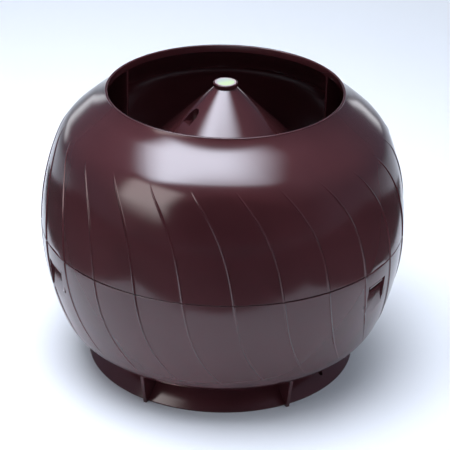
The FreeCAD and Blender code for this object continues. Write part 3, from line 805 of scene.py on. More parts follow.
@dataclass(frozen=True)
class BulbOutline:
    """The section of the bulb's outer face: heel, belly, shoulder, slope and hollow neck under the rim."""

    equator_radius: float = 154.8
    belly_radius: float = 208.0
    shoulder_radius: float = 47.0
    shoulder_start: float = 21.2
    rim_slope: float = 48.0
    heel_radius: float = 40.6
    heel_start: float = 21.9
    seam_height: float = 124.0
    seam_gap: float = 0.8
    seam_groove: float = 1.4
    wall: float = 2.9
    rim_radius: float = 100.0
    rim_rise: float = 0.8
    bow_slope: float = 52.0
    bow_points: int = 4
    neck_slope: float = 38.0
    neck_points: int = 6
    lip_radius: float = 125.2

    @property
    def belly_centre(self) -> Point:
        """The centre of the belly's arc."""
        return self.equator_radius - self.belly_radius, self.seam_height

    def inner_centre(self, radius: float, angle: float) -> Point:
        """The centre of a tighter arc that leaves the belly's arc at an angle."""
        reach = self.belly_radius - radius
        return (self.belly_centre[0] + reach * math.cos(math.radians(angle)),
                self.seam_height + reach * math.sin(math.radians(angle)))

    @property
    def shoulder_centre(self) -> Point:
        """The centre of the shoulder's arc."""
        return self.inner_centre(self.shoulder_radius, self.shoulder_start)

    @property
    def heel_centre(self) -> Point:
        """The centre of the heel's arc."""
        return self.inner_centre(self.heel_radius, -self.heel_start)

    @property
    def lip_angle(self) -> float:
        """How far below the level the lip's outer edge faces."""
        return math.degrees(math.acos((self.lip_radius - self.heel_centre[0]) / self.heel_radius))

    def belly_angle(self, height: float, inset: float = 0.0) -> float:
        """The angle at which the belly's face, set in by an inset, stands at a height."""
        return math.degrees(math.asin((height - self.seam_height) / (self.belly_radius - inset)))

    def belly(self, start: float, end: float, step: float, inset: float = 0.0) -> np.ndarray:
        """Points of the belly's face between two angles."""
        return arc(self.belly_centre, self.belly_radius - inset, start, end, step)

    def shoulder(self, step: float, inset: float = 0.0) -> np.ndarray:
        """Points of the shoulder's face, upwards."""
        return arc(self.shoulder_centre, self.shoulder_radius - inset, self.shoulder_start,
                   self.rim_slope, step)

    def heel(self, step: float, inset: float = 0.0) -> np.ndarray:
        """Points of the heel's face, downwards to the lip."""
        return arc(self.heel_centre, self.heel_radius - inset, -self.heel_start, -self.lip_angle, step)

    def slope_height(self, radius: float, inset: float = 0.0) -> float:
        """The height at a radius of the straight slope, set in by an inset. The inner face follows it."""
        top = self.shoulder(1.0, inset)[-1]
        return float(top[1] + (top[0] - radius) / math.tan(math.radians(self.rim_slope)))

    def neck(self) -> np.ndarray:
        """Points of the outer face from the shoulder's end to the rim: a flat bow, then a hollow neck.

        Returns:
            The points, without the two ends.
        """
        rim = np.array((self.rim_radius, self.slope_height(self.rim_radius)))
        foot = self.shoulder(1.0)[-1]
        runs = []
        for first, last, count in ((self.rim_slope, self.bow_slope, self.bow_points),
                                   (self.bow_slope, self.neck_slope, self.neck_points)):
            tilt = np.radians(first + (last - first) * (np.arange(count) + 0.5) / count)
            runs.append(np.column_stack((-np.sin(tilt), np.cos(tilt))) / count)
        lengths = np.linalg.solve(np.column_stack([run.sum(axis=0) for run in runs]), rim - foot)
        steps = np.concatenate([run * length for run, length in zip(runs, lengths)])
        return (foot + np.cumsum(steps, axis=0))[:-1]

    @property
    def rim_height(self) -> float:
        """The height of the mouth's rim, which stands proud of the slope."""
        return self.slope_height(self.rim_radius) + self.rim_rise


@dataclass(frozen=True)
class Swirl:
    """The raised ridges that run over both shells and cross the seam in line."""

    seam_height: float
    count: int = 24
    azimuth: float = 5.0
    height: float = 0.8
    half_width: float = 1.2
    reach: float = 154.0
    lean: float = 8.3
    curl: float = 51.0
    fade: float = 1.5
    foot_share: float = 1.5
    bead_columns: int = 4
    field_columns: int = 8

    @property
    def pitch(self) -> float:
        """The angle from one ridge to the next."""
        return 360.0 / self.count

    def azimuth_at(self, height: np.ndarray) -> np.ndarray:
        """The first ridge's azimuth at each height."""
        climb = (height - self.seam_height) / self.reach
        return self.azimuth - self.lean * climb - self.curl * climb ** 3

    def share(self, progress: np.ndarray) -> np.ndarray:
        """How much of its height a ridge has, from 0 at the seam to 1 at its far end."""
        return np.clip(1 - self.fade * np.clip(progress, 0, 1) ** 3, 0, 1)

    def column_offsets(self) -> tuple[np.ndarray, np.ndarray]:
        """The columns of one sector, from one ridge to the next.

        Returns:
            Each column's distance from its ridge in millimetres, and its share of the plain field between
            two ridges. One of the two is 0.
        """
        beads = np.linspace(-1, 1, 2 * self.bead_columns + 1) * self.half_width
        foot = self.half_width * self.foot_share
        near = np.concatenate(([-foot], beads, [foot]))
        field_share = np.arange(1, self.field_columns) / self.field_columns
        offsets = np.concatenate((near, np.full(len(field_share), foot)))
        shares = np.concatenate((np.zeros(len(near)), field_share))
        return offsets, shares

    def grid(self, name: str, outline: np.ndarray, normals: np.ndarray, shares: np.ndarray
             ) -> bpy.types.Object:
        """Turns a closed section round the axis, sheared along the swirl, with the ridges raised on it.

        Args:
            name: The object's name.
            outline: Radius and height of each point of the section.
            normals: The direction in which each point is raised.
            shares: How much of a ridge's height each point gets.

        Returns:
            The shell.
        """
        offsets, fields = self.column_offsets()
        radius, height = outline[:, 0], outline[:, 1]
        foot = self.half_width * self.foot_share
        gap = math.radians(self.pitch) - 2 * foot / radius
        angles = offsets[None, :] / radius[:, None] + fields[None, :] * gap[:, None]
        bead = (1 + np.cos(np.pi * np.clip(np.abs(offsets) / self.half_width, 0, 1))) / 2
        bead = np.where(fields > 0, 0.0, bead)
        raised = self.height * shares[:, None] * bead[None, :]
        sector = np.arange(self.count) * self.pitch
        azimuth = (self.azimuth_at(height)[:, None, None] + sector[None, :, None]
                   + np.degrees(angles)[:, None, :])
        around_radius = (radius[:, None] + raised * normals[:, 0, None])[:, None, :]
        around_height = (height[:, None] + raised * normals[:, 1, None])[:, None, :]
        full = azimuth.shape
        points = around(np.broadcast_to(around_radius, full), np.zeros(full),
                        np.broadcast_to(around_height, full), azimuth)
        columns = full[1] * full[2]
        return new_object(name, points.reshape(-1, 3), grid_faces(len(outline), columns))


@dataclass(frozen=True)
class Latch:
    """A hook of the upper shell in a window of the lower one."""

    count: int = 3
    azimuth: float = 57.5
    half_width: float = 13.0
    back: float = 150.9
    roof: float = 111.1
    slot: float = 7.7
    backing: float = 2.7
    backing_height: float = 11.0
    backing_ramp: float = 6.0
    hook_half_width: float = 10.0
    hook_wall: float = 2.3
    hook_nose: float = 2.6
    clearance: float = 0.5
    sill_gap: float = 1.6
    hook_set_in: float = 0.4
    hook_round: float = 0.3
    nose_round: float = 0.4
    window_round: float = 0.3
    pry_depth: float = 0.6
    pry_height: float = 2.4
    pry_lift: float = 0.05
    cut_reach: float = 20.0

    @property
    def azimuths(self) -> np.ndarray:
        """Where the latches stand."""
        return ring(self.count, self.azimuth)

    @property
    def sill(self) -> float:
        """The height of the slot's lower edge."""
        return self.roof - self.slot


class Piece:
    """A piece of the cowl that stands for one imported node."""

    node: str
    slot: str

    def build(self) -> bpy.types.Object:
        """Builds the piece's mesh."""
        raise NotImplementedError

    def dress(self, material: bpy.types.Material) -> bpy.types.Object:
        """Builds the piece, gives it its finish and sets it on the frame.

        Args:
            material: The piece's finish.

        Returns:
            The finished object.
        """
        shape = self.build()
        shape.data.materials.clear()
        shape.data.materials.append(material)
        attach(shape, BODY)
        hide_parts(self.node)
        self.report(shape)
        return shape

    def report(self, shape: bpy.types.Object) -> None:
        """Logs a piece's size beside that of the node that it stands for.

        Args:
            shape: The finished piece.
        """
        low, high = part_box(self.node)
        corners = np.array([vertex.co for vertex in shape.data.vertices])
        off = np.concatenate((corners.min(0) - np.array(low), np.array(high) - corners.max(0))) / MM
        log.info("%s: %d faces, inside its node's box by %s mm", shape.name, len(shape.data.polygons),
                 np.round(off, 2).tolist())


@dataclass
class BulbShell(Piece):
    """What the two shells of the bulb share: their outline, their latches and the ridges on them."""

    outline: BulbOutline
    swirl: Swirl
    latch: Latch
    slot: str = "shell_plastic"
    edge_round: float = 0.35
    outer_step: float = 3.6
    inner_step: float = 7.0
    belly_share: float = 0.6

    def ridges(self, points: np.ndarray, belly: int, turned: int, centre: Point, start: float, end: float
               ) -> tuple[np.ndarray, np.ndarray]:
        """How the ridges are raised on a section that starts with the belly and the arc beyond it.

        The section's last points are the rounded edge at the seam, where the ridges are at full height.

        Args:
            points: The section's points.
            belly: How many of them lie on the belly.
            turned: How many lie on the arc beyond it.
            centre: That arc's centre.
            start: How far from the level the arc starts.
            end: How far from the level the ridges end.

        Returns:
            The directions in which the points are raised, and their shares of a ridge's height.
        """
        outer = belly + turned
        centres = np.repeat(np.array((self.outline.belly_centre, centre)), (belly, turned), axis=0)
        away = points[:outer] - centres
        normals = np.zeros_like(points)
        normals[:outer] = away / np.linalg.norm(away, axis=1, keepdims=True)
        angle = np.abs(np.degrees(np.arctan2(normals[:outer, 1], normals[:outer, 0])))
        over = (angle - start) / (end - start)
        near = self.belly_share
        progress = np.where(over < 0, near * angle / start, near + (1 - near) * over)
        shares = np.zeros(len(points))
        shares[:outer] = self.swirl.share(progress)
        seam_edge = CORNER_STEPS + 1
        normals[-seam_edge:] = (1.0, 0.0)
        shares[-seam_edge:] = 1.0
        return normals, shares


@dataclass
class UpperShell(BulbShell):
    """The dome: rim band, ridges, three webs with screw bosses, skirt, three hooks and pry notches."""

    node: str = "upper_shell"
    shoulder_step_share: float = 0.7
    band_wall: float = 1.7
    band_height: float = 6.3
    setback: float = 0.3
    skirt_outer: float = 151.4
    skirt_wall: float = 2.2
    skirt_depth: float = 5.6
    skirt_root: float = 8.0
    rim_round: float = 0.45
    web_count: int = 3
    web_wall: float = 2.6
    web_bevel: float = 0.25
    web_belly_step: float = 8.0
    web_shoulder_step: float = 5.0
    cone_clearance: float = 0.3
    boss_radius: float = 4.5
    boss_height: float = 18.0
    boss_bevel: float = 0.3
    pilot_radius: float = 1.95
    pilot_depth: float = 10.0

    def section(self) -> tuple[np.ndarray, np.ndarray, np.ndarray]:
        """The shell's closed section.

        Returns:
            Its points, the directions in which they are raised, and their shares of a ridge's height.
        """
        bulb = self.outline
        upper_edge = bulb.seam_height + bulb.seam_gap / 2
        start = bulb.belly_angle(upper_edge + self.edge_round)
        belly = bulb.belly(start, bulb.shoulder_start, self.outer_step)
        shoulder = bulb.shoulder(self.outer_step * self.shoulder_step_share)[1:]
        rim_inner = bulb.rim_radius - self.setback - self.band_wall
        band_outer = bulb.rim_radius - self.setback
        slope_end = (bulb.rim_radius, bulb.slope_height(bulb.rim_radius))
        slope = bulb.neck()
        rim = rounded([
            tuple(slope[-1]), (*slope_end, self.edge_round / 2),
            (bulb.rim_radius, bulb.rim_height, self.rim_round),
            (rim_inner, bulb.rim_height, self.rim_round),
            (rim_inner, bulb.rim_height - self.band_height, self.edge_round),
            (band_outer, bulb.rim_height - self.band_height, self.edge_round),
            (band_outer, bulb.slope_height(band_outer, bulb.wall)),
            (bulb.rim_radius, bulb.slope_height(bulb.rim_radius, bulb.wall)),
        ])[1:-1]
        inner_top = line((band_outer, bulb.slope_height(band_outer, bulb.wall)),
                         tuple(bulb.shoulder(1.0, bulb.wall)[-1]), self.inner_step)[1:-1]
        inner_shoulder = bulb.shoulder(self.inner_step, bulb.wall)[::-1]
        root = bulb.seam_height + self.skirt_root
        inner_belly = bulb.belly(bulb.shoulder_start, bulb.belly_angle(root, bulb.wall), self.inner_step,
                                 bulb.wall)[1:]
        skirt_inner = self.skirt_outer - self.skirt_wall
        groove = bulb.equator_radius - bulb.seam_groove
        edge_radius = bulb.belly(bulb.belly_angle(upper_edge), 0.0, 1.0)[0][0]
        foot = rounded([
            tuple(inner_belly[-1]),
            (skirt_inner, bulb.seam_height + self.skirt_root / 2),
            (skirt_inner, bulb.seam_height - self.skirt_depth, self.edge_round),
            (self.skirt_outer, bulb.seam_height - self.skirt_depth, self.edge_round),
            (self.skirt_outer, bulb.seam_height),
            (groove, bulb.seam_height),
            (groove, upper_edge),
            (edge_radius, upper_edge, self.edge_round),
            tuple(belly[1]),
        ])[1:-1]
        points = np.concatenate((belly, shoulder, slope, rim, inner_top, inner_shoulder, inner_belly,
                                 foot))
        return points, *self.ridges(points, len(belly), len(shoulder), bulb.shoulder_centre,
                                    bulb.shoulder_start, bulb.rim_slope)

    @property
    def web_azimuths(self) -> np.ndarray:
        """Where the webs stand."""
        return ring(self.web_count)

    def webs(self) -> list[bpy.types.Object]:
        """The webs that hang in the dome and the screw bosses at their feet.

        Returns:
            The webs and the bosses.
        """
        bulb = self.outline
        cone = RainCone(bulb)
        inset = bulb.wall / 2
        inner = bulb.rim_radius - self.band_wall
        foot = cone.seat_height + self.cone_clearance
        top_radius = bulb.rim_radius - 2 * self.setback
        outline = np.concatenate((
            [(inner, cone.height_at(inner) + self.cone_clearance),
             (cone.seat_pitch - cone.seat_rise * cone.slope, foot)],
            bulb.belly(bulb.belly_angle(foot, inset), bulb.shoulder_start, self.web_belly_step, inset),
            bulb.shoulder(self.web_shoulder_step, inset)[1:],
            [(top_radius, bulb.slope_height(top_radius, inset)),
             (inner, bulb.rim_height - self.band_height / 2)],
        ))
        boss = circle(cone.seat_pitch, 0.0, self.boss_radius)
        boss_top = cone.seat_height + self.boss_height
        half = self.web_wall / 2
        return [piece for azimuth in self.web_azimuths for piece in (
            draw_out("web", outline, Way.ACROSS, -half, half, azimuth, self.web_bevel),
            draw_out("boss", boss, Way.UP, cone.seat_height, boss_top, azimuth, self.boss_bevel))]

    def pilots(self) -> list[bpy.types.Object]:
        """What is cut away in the bosses for the screws.

        Returns:
            The solids that are cut away.
        """
        cone = RainCone(self.outline)
        hole = circle(cone.seat_pitch, 0.0, self.pilot_radius, 32)
        return draw_ring(self.web_azimuths, "pilot", hole, Way.UP, cone.seat_height - CUT_OVER,
                         cone.seat_height + self.pilot_depth)

    def hooks(self) -> list[bpy.types.Object]:
        """The three latch hooks below the skirt.

        Returns:
            The hooks.
        """
        latch = self.latch
        face = latch.back - latch.clearance
        rear = face - latch.hook_wall
        nose = face + latch.hook_nose
        foot = latch.sill + latch.sill_gap
        top = latch.roof - latch.clearance
        skirt_end = self.outline.seam_height - self.skirt_depth
        skirt_inner = self.skirt_outer - self.skirt_wall
        outline = rounded([
            (skirt_inner + latch.hook_set_in, skirt_end + self.skirt_wall), (rear, skirt_end),
            (rear, foot),
            (face, foot, latch.hook_round), (nose, foot + latch.hook_nose, latch.nose_round),
            (nose, top, latch.nose_round), (face, top, latch.hook_round),
            (face, skirt_end + self.skirt_wall),
        ], steps=2)
        half = latch.hook_half_width
        return draw_ring(latch.azimuths, "hook", outline, Way.ACROSS, -half, half)

    def notches(self) -> list[bpy.types.Object]:
        """What is cut away for a tool to pry the shells apart.

        Returns:
            The solids that are cut away.
        """
        latch, bulb = self.latch, self.outline
        root = bulb.equator_radius - latch.pry_depth
        upper_edge = bulb.seam_height + bulb.seam_gap / 2
        lean = latch.cut_reach * latch.pry_depth / latch.pry_height
        low = bulb.seam_height + latch.pry_lift
        high = upper_edge + latch.cut_reach
        far = bulb.equator_radius + latch.cut_reach
        outline = np.array([(root, low), (far, low), (far, high), (root + lean, high), (root, upper_edge)])
        half = latch.half_width
        return draw_ring(latch.azimuths, "notch", outline, Way.ACROSS, -half, half)

    def build(self) -> bpy.types.Object:
        """Builds the dome in one piece.

        Returns:
            The dome.
        """
        shape = self.swirl.grid("dome_shell", *self.section())
        merge(shape, self.webs() + self.hooks(), Merge.ADD)
        merge(shape, self.notches() + self.pilots(), Merge.CUT)
        shade(shape)
        return shape


@dataclass
class LowerShell(BulbShell):
    """The bowl: seam edge, ridges, three latch windows with backing, turned-in lip and three screw ears."""

    node: str = "lower_shell"
    belly_share: float = 0.75
    heel_step_share: float = 0.6
    lip_round: float = 0.7
    ridge_heel_share: float = 0.42
    ear_count: int = 3
    ear_azimuth: float = 30.0
    ear_pitch: float = 124.5
    ear_half_width: float = 6.0
    ear_wall: float = 3.0
    ear_foot: float = 48.36
    ear_hole: float = 2.2
    ear_root_depth: float = 1.5
    ear_bevel: float = 0.3

    def section(self) -> tuple[np.ndarray, np.ndarray, np.ndarray]:
        """The shell's closed section.

        Returns:
            Its points, the directions in which they are raised, and their shares of a ridge's height.
        """
        bulb = self.outline
        lower_edge = bulb.seam_height - bulb.seam_gap / 2
        start = bulb.belly_angle(lower_edge - self.edge_round)
        belly = bulb.belly(start, -bulb.heel_start, self.outer_step)
        heel = bulb.heel(self.outer_step * self.heel_step_share)[1:]
        inner_heel = bulb.heel(self.inner_step * self.heel_step_share, bulb.wall)
        inner_belly = bulb.belly(-bulb.heel_start, 0.0, self.inner_step, bulb.wall)[1:]
        lip = rounded([tuple(heel[-2]), (*heel[-1], self.lip_round), (*inner_heel[-1], self.lip_round),
                       tuple(inner_heel[-2])])[1:-1]
        groove = bulb.equator_radius - bulb.seam_groove
        edge_radius = bulb.belly(bulb.belly_angle(lower_edge), 0.0, 1.0)[0][0]
        seam = rounded([
            tuple(inner_belly[-2]), tuple(inner_belly[-1]),
            (groove, bulb.seam_height), (groove, lower_edge),
            (edge_radius, lower_edge, self.edge_round), tuple(belly[1]),
        ])[2:-1]
        points = np.concatenate((belly, heel[:-1], lip, inner_heel[:-1][::-1], inner_belly, seam))
        ridge_end = bulb.heel_start + (bulb.lip_angle - bulb.heel_start) * self.ridge_heel_share
        return points, *self.ridges(points, len(belly), len(heel) - 1, bulb.heel_centre, bulb.heel_start,
                                    ridge_end)

    def backings(self) -> list[bpy.types.Object]:
        """The thicker pads inside the wall, behind the windows.

        Returns:
            The pads.
        """
        latch = self.latch
        inner = latch.back - latch.backing
        outer = latch.back + latch.backing / 2
        foot = latch.sill - latch.backing_height
        outline = np.array([(inner, latch.sill), (inner, foot - latch.backing_ramp), (outer, foot),
                            (outer, latch.sill)])
        half = latch.half_width + latch.backing
        return draw_ring(latch.azimuths, "backing", outline, Way.ACROSS, -half, half)

    def windows(self) -> list[bpy.types.Object]:
        """What is cut away for the windows and, above their backing, for the hooks.

        Returns:
            The solids that are cut away.
        """
        latch = self.latch
        far = latch.back + latch.cut_reach
        foot = latch.roof - 2 * latch.cut_reach
        inner = latch.back - latch.backing - CUT_OVER
        outline = rounded([
            (inner, latch.sill), (latch.back, latch.sill, latch.window_round), (latch.back, foot),
            (far, foot), (far, latch.roof), (inner, latch.roof),
        ], steps=2)
        half = latch.half_width
        return draw_ring(latch.azimuths, "window", outline, Way.ACROSS, -half, half)

    @property
    def ear_azimuths(self) -> np.ndarray:
        """Where the ears stand."""
        return ring(self.ear_count, self.ear_azimuth)

    def ears(self) -> list[bpy.types.Object]:
        """The ears that lie on every second fin.

        Returns:
            The ears.
        """
        half = self.ear_half_width
        bulb = self.outline
        root = bulb.heel_centre[0] + bulb.heel_radius - bulb.wall / 2 - self.ear_root_depth
        nose = arc((self.ear_pitch, 0.0), half, 90.0, 270.0, 1.0)
        outline = np.concatenate(([(root, -half), (root, half)], nose))
        return draw_ring(self.ear_azimuths, "ear", outline, Way.UP, self.ear_foot,
                         self.ear_foot + self.ear_wall, self.ear_bevel)

    def ear_holes(self) -> list[bpy.types.Object]:
        """The screw holes in the ears."""
        hole = circle(self.ear_pitch, 0.0, self.ear_hole, 24)
        return draw_ring(self.ear_azimuths, "hole", hole, Way.UP, self.ear_foot - CUT_OVER,
                         self.ear_foot + self.ear_wall + CUT_OVER)

    def build(self) -> bpy.types.Object:
        """Builds the bowl in one piece.

        Returns:
            The bowl.
        """
        shape = self.swirl.grid("bowl_shell", *self.section())
        merge(shape, self.backings() + self.ears(), Merge.ADD)
        merge(shape, self.windows() + self.ear_holes(), Merge.CUT)
        shade(shape)
        return shape


@dataclass
class MountingCollar(Piece):
    """The collar: flare over the casing's edge, duct socket, six fins, three bosses and fixing holes."""

    outline: BulbOutline
    node: str = "mounting_collar"
    slot: str = "shell_plastic"
    foot_radius: float = 116.4
    foot_edge: float = 1.2
    flare_angle: float = 45.0
    bore: float = 80.4
    socket_foot: float = 3.0
    wall: float = 2.9
    top: float = 52.36
    stop_height: float = 40.0
    stop_wall: float = 3.0
    stop_reach: float = 6.0
    fin_count: int = 6
    fin_azimuth: float = 30.0
    fin_wall: float = 3.0
    fin_foot_reach: float = 3.7
    fin_top: float = 48.36
    fin_clearance: float = 0.4
    fin_step: float = 3.0
    fin_bevel: float = 0.3
    boss_pitch: float = 124.5
    boss_radius: float = 4.2
    boss_depth: float = 12.0
    pilot_radius: float = 1.95
    pilot_depth: float = 10.0
    fixing_count: int = 3
    fixing_azimuth: float = 54.2
    fixing_pitch: float = 107.5
    fixing_radius: float = 2.4
    fixing_seat: float = 4.5
    fixing_under: float = 2.0
    small_round: float = 0.3
    stop_round: float = 0.4
    end_round: float = 0.5
    foot_round: float = 0.6
    inner_root_round: float = 0.8
    outer_root_round: float = 1.0
    columns: int = 288

    def flare_height(self, radius: float, inset: float = 0.0) -> float:
        """The height of the flare's outer face, set in by a wall, at a radius."""
        angle = math.radians(self.flare_angle)
        return self.foot_edge + (self.foot_radius - radius) * math.tan(angle) - inset / math.cos(angle)

    def flare_foot(self, inset: float) -> float:
        """The radius at which a face set in from the flare's outer face meets the floor."""
        angle = math.radians(self.flare_angle)
        return self.foot_radius + (self.foot_edge - inset / math.cos(angle)) / math.tan(angle)

    def flare(self) -> bpy.types.Object:
        """The flare and the socket with its pipe stop, turned in one.

        Returns:
            The turned solid.
        """
        outer = self.bore + self.wall
        stop_top = self.stop_height + self.stop_wall
        stop_inner = self.bore - self.stop_reach
        section = rounded([
            (self.flare_foot(self.wall), 0.0, self.small_round),
            (self.foot_radius, 0.0, self.small_round),
            (self.foot_radius, self.foot_edge, self.foot_round),
            (outer, self.flare_height(outer), self.outer_root_round),
            (outer, self.top, self.end_round),
            (self.bore, self.top, self.end_round),
            (self.bore, stop_top, self.small_round),
            (stop_inner, stop_top, self.stop_round),
            (stop_inner, self.stop_height, self.stop_round),
            (self.bore, self.stop_height, self.small_round),
            (self.bore, self.socket_foot, self.end_round),
            (outer, self.socket_foot, self.end_round),
            (outer, self.flare_height(outer, self.wall), self.inner_root_round),
        ])
        return revolve("flared_collar", section, self.columns)

    def fins(self) -> list[bpy.types.Object]:
        """The six fins that carry the bulb.

        Returns:
            The fins.
        """
        bulb = self.outline
        clear = bulb.wall + self.fin_clearance
        angle = bulb.lip_angle + math.degrees(self.fin_clearance / bulb.heel_radius)
        under_lip = arc(bulb.heel_centre, bulb.heel_radius, -angle, -angle, 1.0)[0]
        reach = bulb.heel_radius - clear
        top_angle = math.degrees(math.asin((self.fin_top - bulb.heel_centre[1]) / reach))
        behind = arc(bulb.heel_centre, reach, -angle, top_angle, self.fin_step)
        in_socket = self.bore + self.wall / 2
        outline = np.concatenate((
            [(self.flare_foot(self.wall / 2), 0.0), (self.foot_radius + self.fin_foot_reach, 0.0),
             under_lip],
            behind,
            [(in_socket, self.fin_top), (in_socket, self.flare_height(in_socket, self.wall / 2))],
        ))
        half = self.fin_wall / 2
        azimuths = ring(self.fin_count, self.fin_azimuth)
        return draw_ring(azimuths, "fin", outline, Way.ACROSS, -half, half, self.fin_bevel)

    def bosses(self, radius: float, depth: float, lift: float) -> list[bpy.types.Object]:
        """Round solids that hang from the tops of every second fin.

        Args:
            radius: Their radius.
            depth: How deep they reach.
            lift: How far they stand up past the fin.

        Returns:
            The solids.
        """
        azimuths = ring(self.fin_count // 2, self.fin_azimuth)
        return draw_ring(azimuths, "boss", circle(self.boss_pitch, 0.0, radius, 32), Way.UP,
                         self.fin_top - depth, self.fin_top + lift)

    @property
    def fixing_azimuths(self) -> np.ndarray:
        """Where the fixing holes stand."""
        return ring(self.fixing_count, self.fixing_azimuth)

    def fixing_seats(self) -> list[bpy.types.Object]:
        """The seats under the flare, level with the foot, that the fixing holes go through.

        Returns:
            The seats.
        """
        inner = self.fixing_pitch - self.fixing_seat
        inset = self.wall / 2
        outline = np.array([(inner, 0.0), (self.flare_foot(inset), 0.0),
                            (inner, self.flare_height(inner, inset))])
        half = self.fixing_seat
        return draw_ring(self.fixing_azimuths, "seat", outline, Way.ACROSS, -half, half)

    def fixing_holes(self) -> list[bpy.types.Object]:
        """The upright holes for the screws that hold the flare down."""
        hole = circle(self.fixing_pitch, 0.0, self.fixing_radius, 32)
        return draw_ring(self.fixing_azimuths, "fixing", hole, Way.UP, -self.fixing_under,
                         self.stop_height)

    def build(self) -> bpy.types.Object:
        """Builds the collar in one piece.

        Returns:
            The collar.
        """
        shape = self.flare()
        bosses = self.bosses(self.boss_radius, self.boss_depth, 0.0)
        merge(shape, self.fins() + bosses + self.fixing_seats(), Merge.ADD)
        pilots = self.bosses(self.pilot_radius, self.pilot_depth, CUT_OVER)
        merge(shape, pilots + self.fixing_holes(), Merge.CUT)
        shade(shape, even_flats=True)
        return shape


@dataclass
class RainCone(Piece):
    """The cone that sheds the rain: tip socket, drip edge, three screw seats and the pocket on its flank."""

    outline: BulbOutline
    node: str = "rain_cone"
    slot: str = "shell_plastic"
    tip_rise: float = 2.7
    tip_radius: float = 9.0
    half_angle: float = 45.5
    wall: float = 2.6
    edge_radius: float = 120.0
    drip_height: float = 5.0
    crown: float = 6.0
    socket_radius: float = 4.05
    seat_pitch: float = 110.0
    seat_rise: float = 3.0
    seat_radius: float = 6.75
    seat_depth: float = 10.0
    seat_floor: float = 3.5
    seat_count: int = 3
    face_clearance: float = 0.01
    bore_radius: float = 4.8
    hole_radius: float = 2.2
    pocket_azimuth: float = -60.0
    pocket_pitch: float = 31.0
    pocket_radius: float = 5.6
    pocket_sink: float = 5.7
    pocket_wall: float = 2.15
    pocket_floor: float = 2.4
    pocket_hole: float = 1.6
    pocket_reach: float = 20.0
    pocket_step: float = 0.7
    flank_step: float = 12.0
    tool_reach: float = 15.0
    hole_reach: float = 5.0
    small_round: float = 0.3
    tip_round: float = 0.4
    crown_round: float = 0.5
    root_round: float = 0.8
    columns: int = 288

    @property
    def tip_height(self) -> float:
        """The height of the flat tip, on which the cap sits."""
        return self.outline.rim_height + self.tip_rise

    @property
    def slope(self) -> float:
        """How far the flank goes out for each millimetre that it goes down."""
        return math.tan(math.radians(self.half_angle))

    @property
    def seat_height(self) -> float:
        """The height of the flat screw seats, on which the webs' bosses stand."""
        return self.height_at(self.seat_pitch) + self.seat_rise

    def drop(self, inset: float) -> float:
        """How far below the flank a face lies that is set in by a wall."""
        return inset / math.sin(math.radians(self.half_angle))

    def height_at(self, radius: float, inset: float = 0.0) -> float:
        """The flank's height at a radius, set in by a wall."""
        return self.tip_height - (radius - self.tip_radius) / self.slope - self.drop(inset)

    def cone(self) -> bpy.types.Object:
        """The plain cone with its drip edge and socket.

        Returns:
            The turned solid.
        """
        foot = self.height_at(self.edge_radius) - self.drip_height
        inner = self.edge_radius - self.wall
        crown_height = self.tip_height - self.crown
        crown_radius = self.tip_radius + (self.crown - self.drop(self.wall)) * self.slope
        edge = (self.edge_radius, self.height_at(self.edge_radius))
        outer = line((self.tip_radius, self.tip_height), edge, self.flank_step)[1:-1]
        section = rounded([
            (self.socket_radius, self.tip_height, self.small_round),
            (self.tip_radius, self.tip_height, self.tip_round),
            *[tuple(point) for point in outer],
            (*edge, self.root_round),
            (self.edge_radius, foot, self.tip_round),
            (inner, foot, self.tip_round),
            (inner, self.height_at(inner, self.wall), self.root_round),
            (crown_radius, crown_height, self.crown_round),
            (self.socket_radius, crown_height, self.small_round),
        ])
        return revolve("rain_hood", section, self.columns)

    def round_tools(self, name: str, radius: float, low: float, high: float) -> list[bpy.types.Object]:
        """Round solids at the three screw seats.

        Args:
            name: Their name.
            radius: Their radius.
            low: Where they start.
            high: Where they end.

        Returns:
            The solids.
        """
        outline = circle(self.seat_pitch, 0.0, radius)
        return draw_ring(ring(self.seat_count), name, outline, Way.UP, low, high)

    def well(self) -> bpy.types.Object:
        """The wall round the pocket, inside the cone.

        Returns:
            The wall.
        """
        floor = self.height_at(self.pocket_pitch) - self.pocket_sink
        half = self.pocket_radius + self.pocket_wall
        inner = self.pocket_pitch - half
        foot = floor - self.pocket_floor
        middle = self.wall / 2
        outer = self.tip_radius + (self.tip_height - foot - self.drop(middle)) * self.slope
        outline = np.array([(inner, foot), (outer, foot), (inner, self.height_at(inner, middle))])
        return draw_out("well", outline, Way.ACROSS, -half, half, self.pocket_azimuth)

    def pocket(self) -> list[bpy.types.Object]:
        """What is cut away for the pocket, which is open down the flank, and the small hole in its floor.

        Returns:
            The solids that are cut away.
        """
        floor = self.height_at(self.pocket_pitch) - self.pocket_sink
        half = self.pocket_radius
        round_end = arc((self.pocket_pitch, 0.0), half, 90.0, 270.0, self.pocket_step)
        open_end = self.pocket_pitch + self.pocket_reach
        outline = np.concatenate(([(open_end, -half), (open_end, half)], round_end))
        hole = circle(self.pocket_pitch, 0.0, self.pocket_hole, 24)
        return [
            draw_out("pocket", outline, Way.UP, floor, floor + self.pocket_reach, self.pocket_azimuth),
            draw_out("hole", hole, Way.UP, floor - self.hole_reach, floor + CUT_OVER,
                     self.pocket_azimuth),
        ]

    def build(self) -> bpy.types.Object:
        """Builds the cone in one piece.

        Returns:
            The cone.
        """
        shape = self.cone()
        top = self.seat_height
        low = top - self.seat_depth
        merge(shape, [*self.round_tools("seat", self.seat_radius, low, top), self.well()], Merge.ADD)
        face_radius = self.seat_radius - self.face_clearance
        clear = self.round_tools("face", face_radius, top, top + self.tool_reach)
        bore = self.round_tools("bore", self.bore_radius, low - self.tool_reach, top - self.seat_floor)
        holes = self.round_tools("hole", self.hole_radius, low, top + self.hole_reach)
        merge(shape, clear + bore + self.pocket(), Merge.CUT)
        merge(shape, holes, Merge.CUT)
        shade(shape, even_flats=True)
        return shape


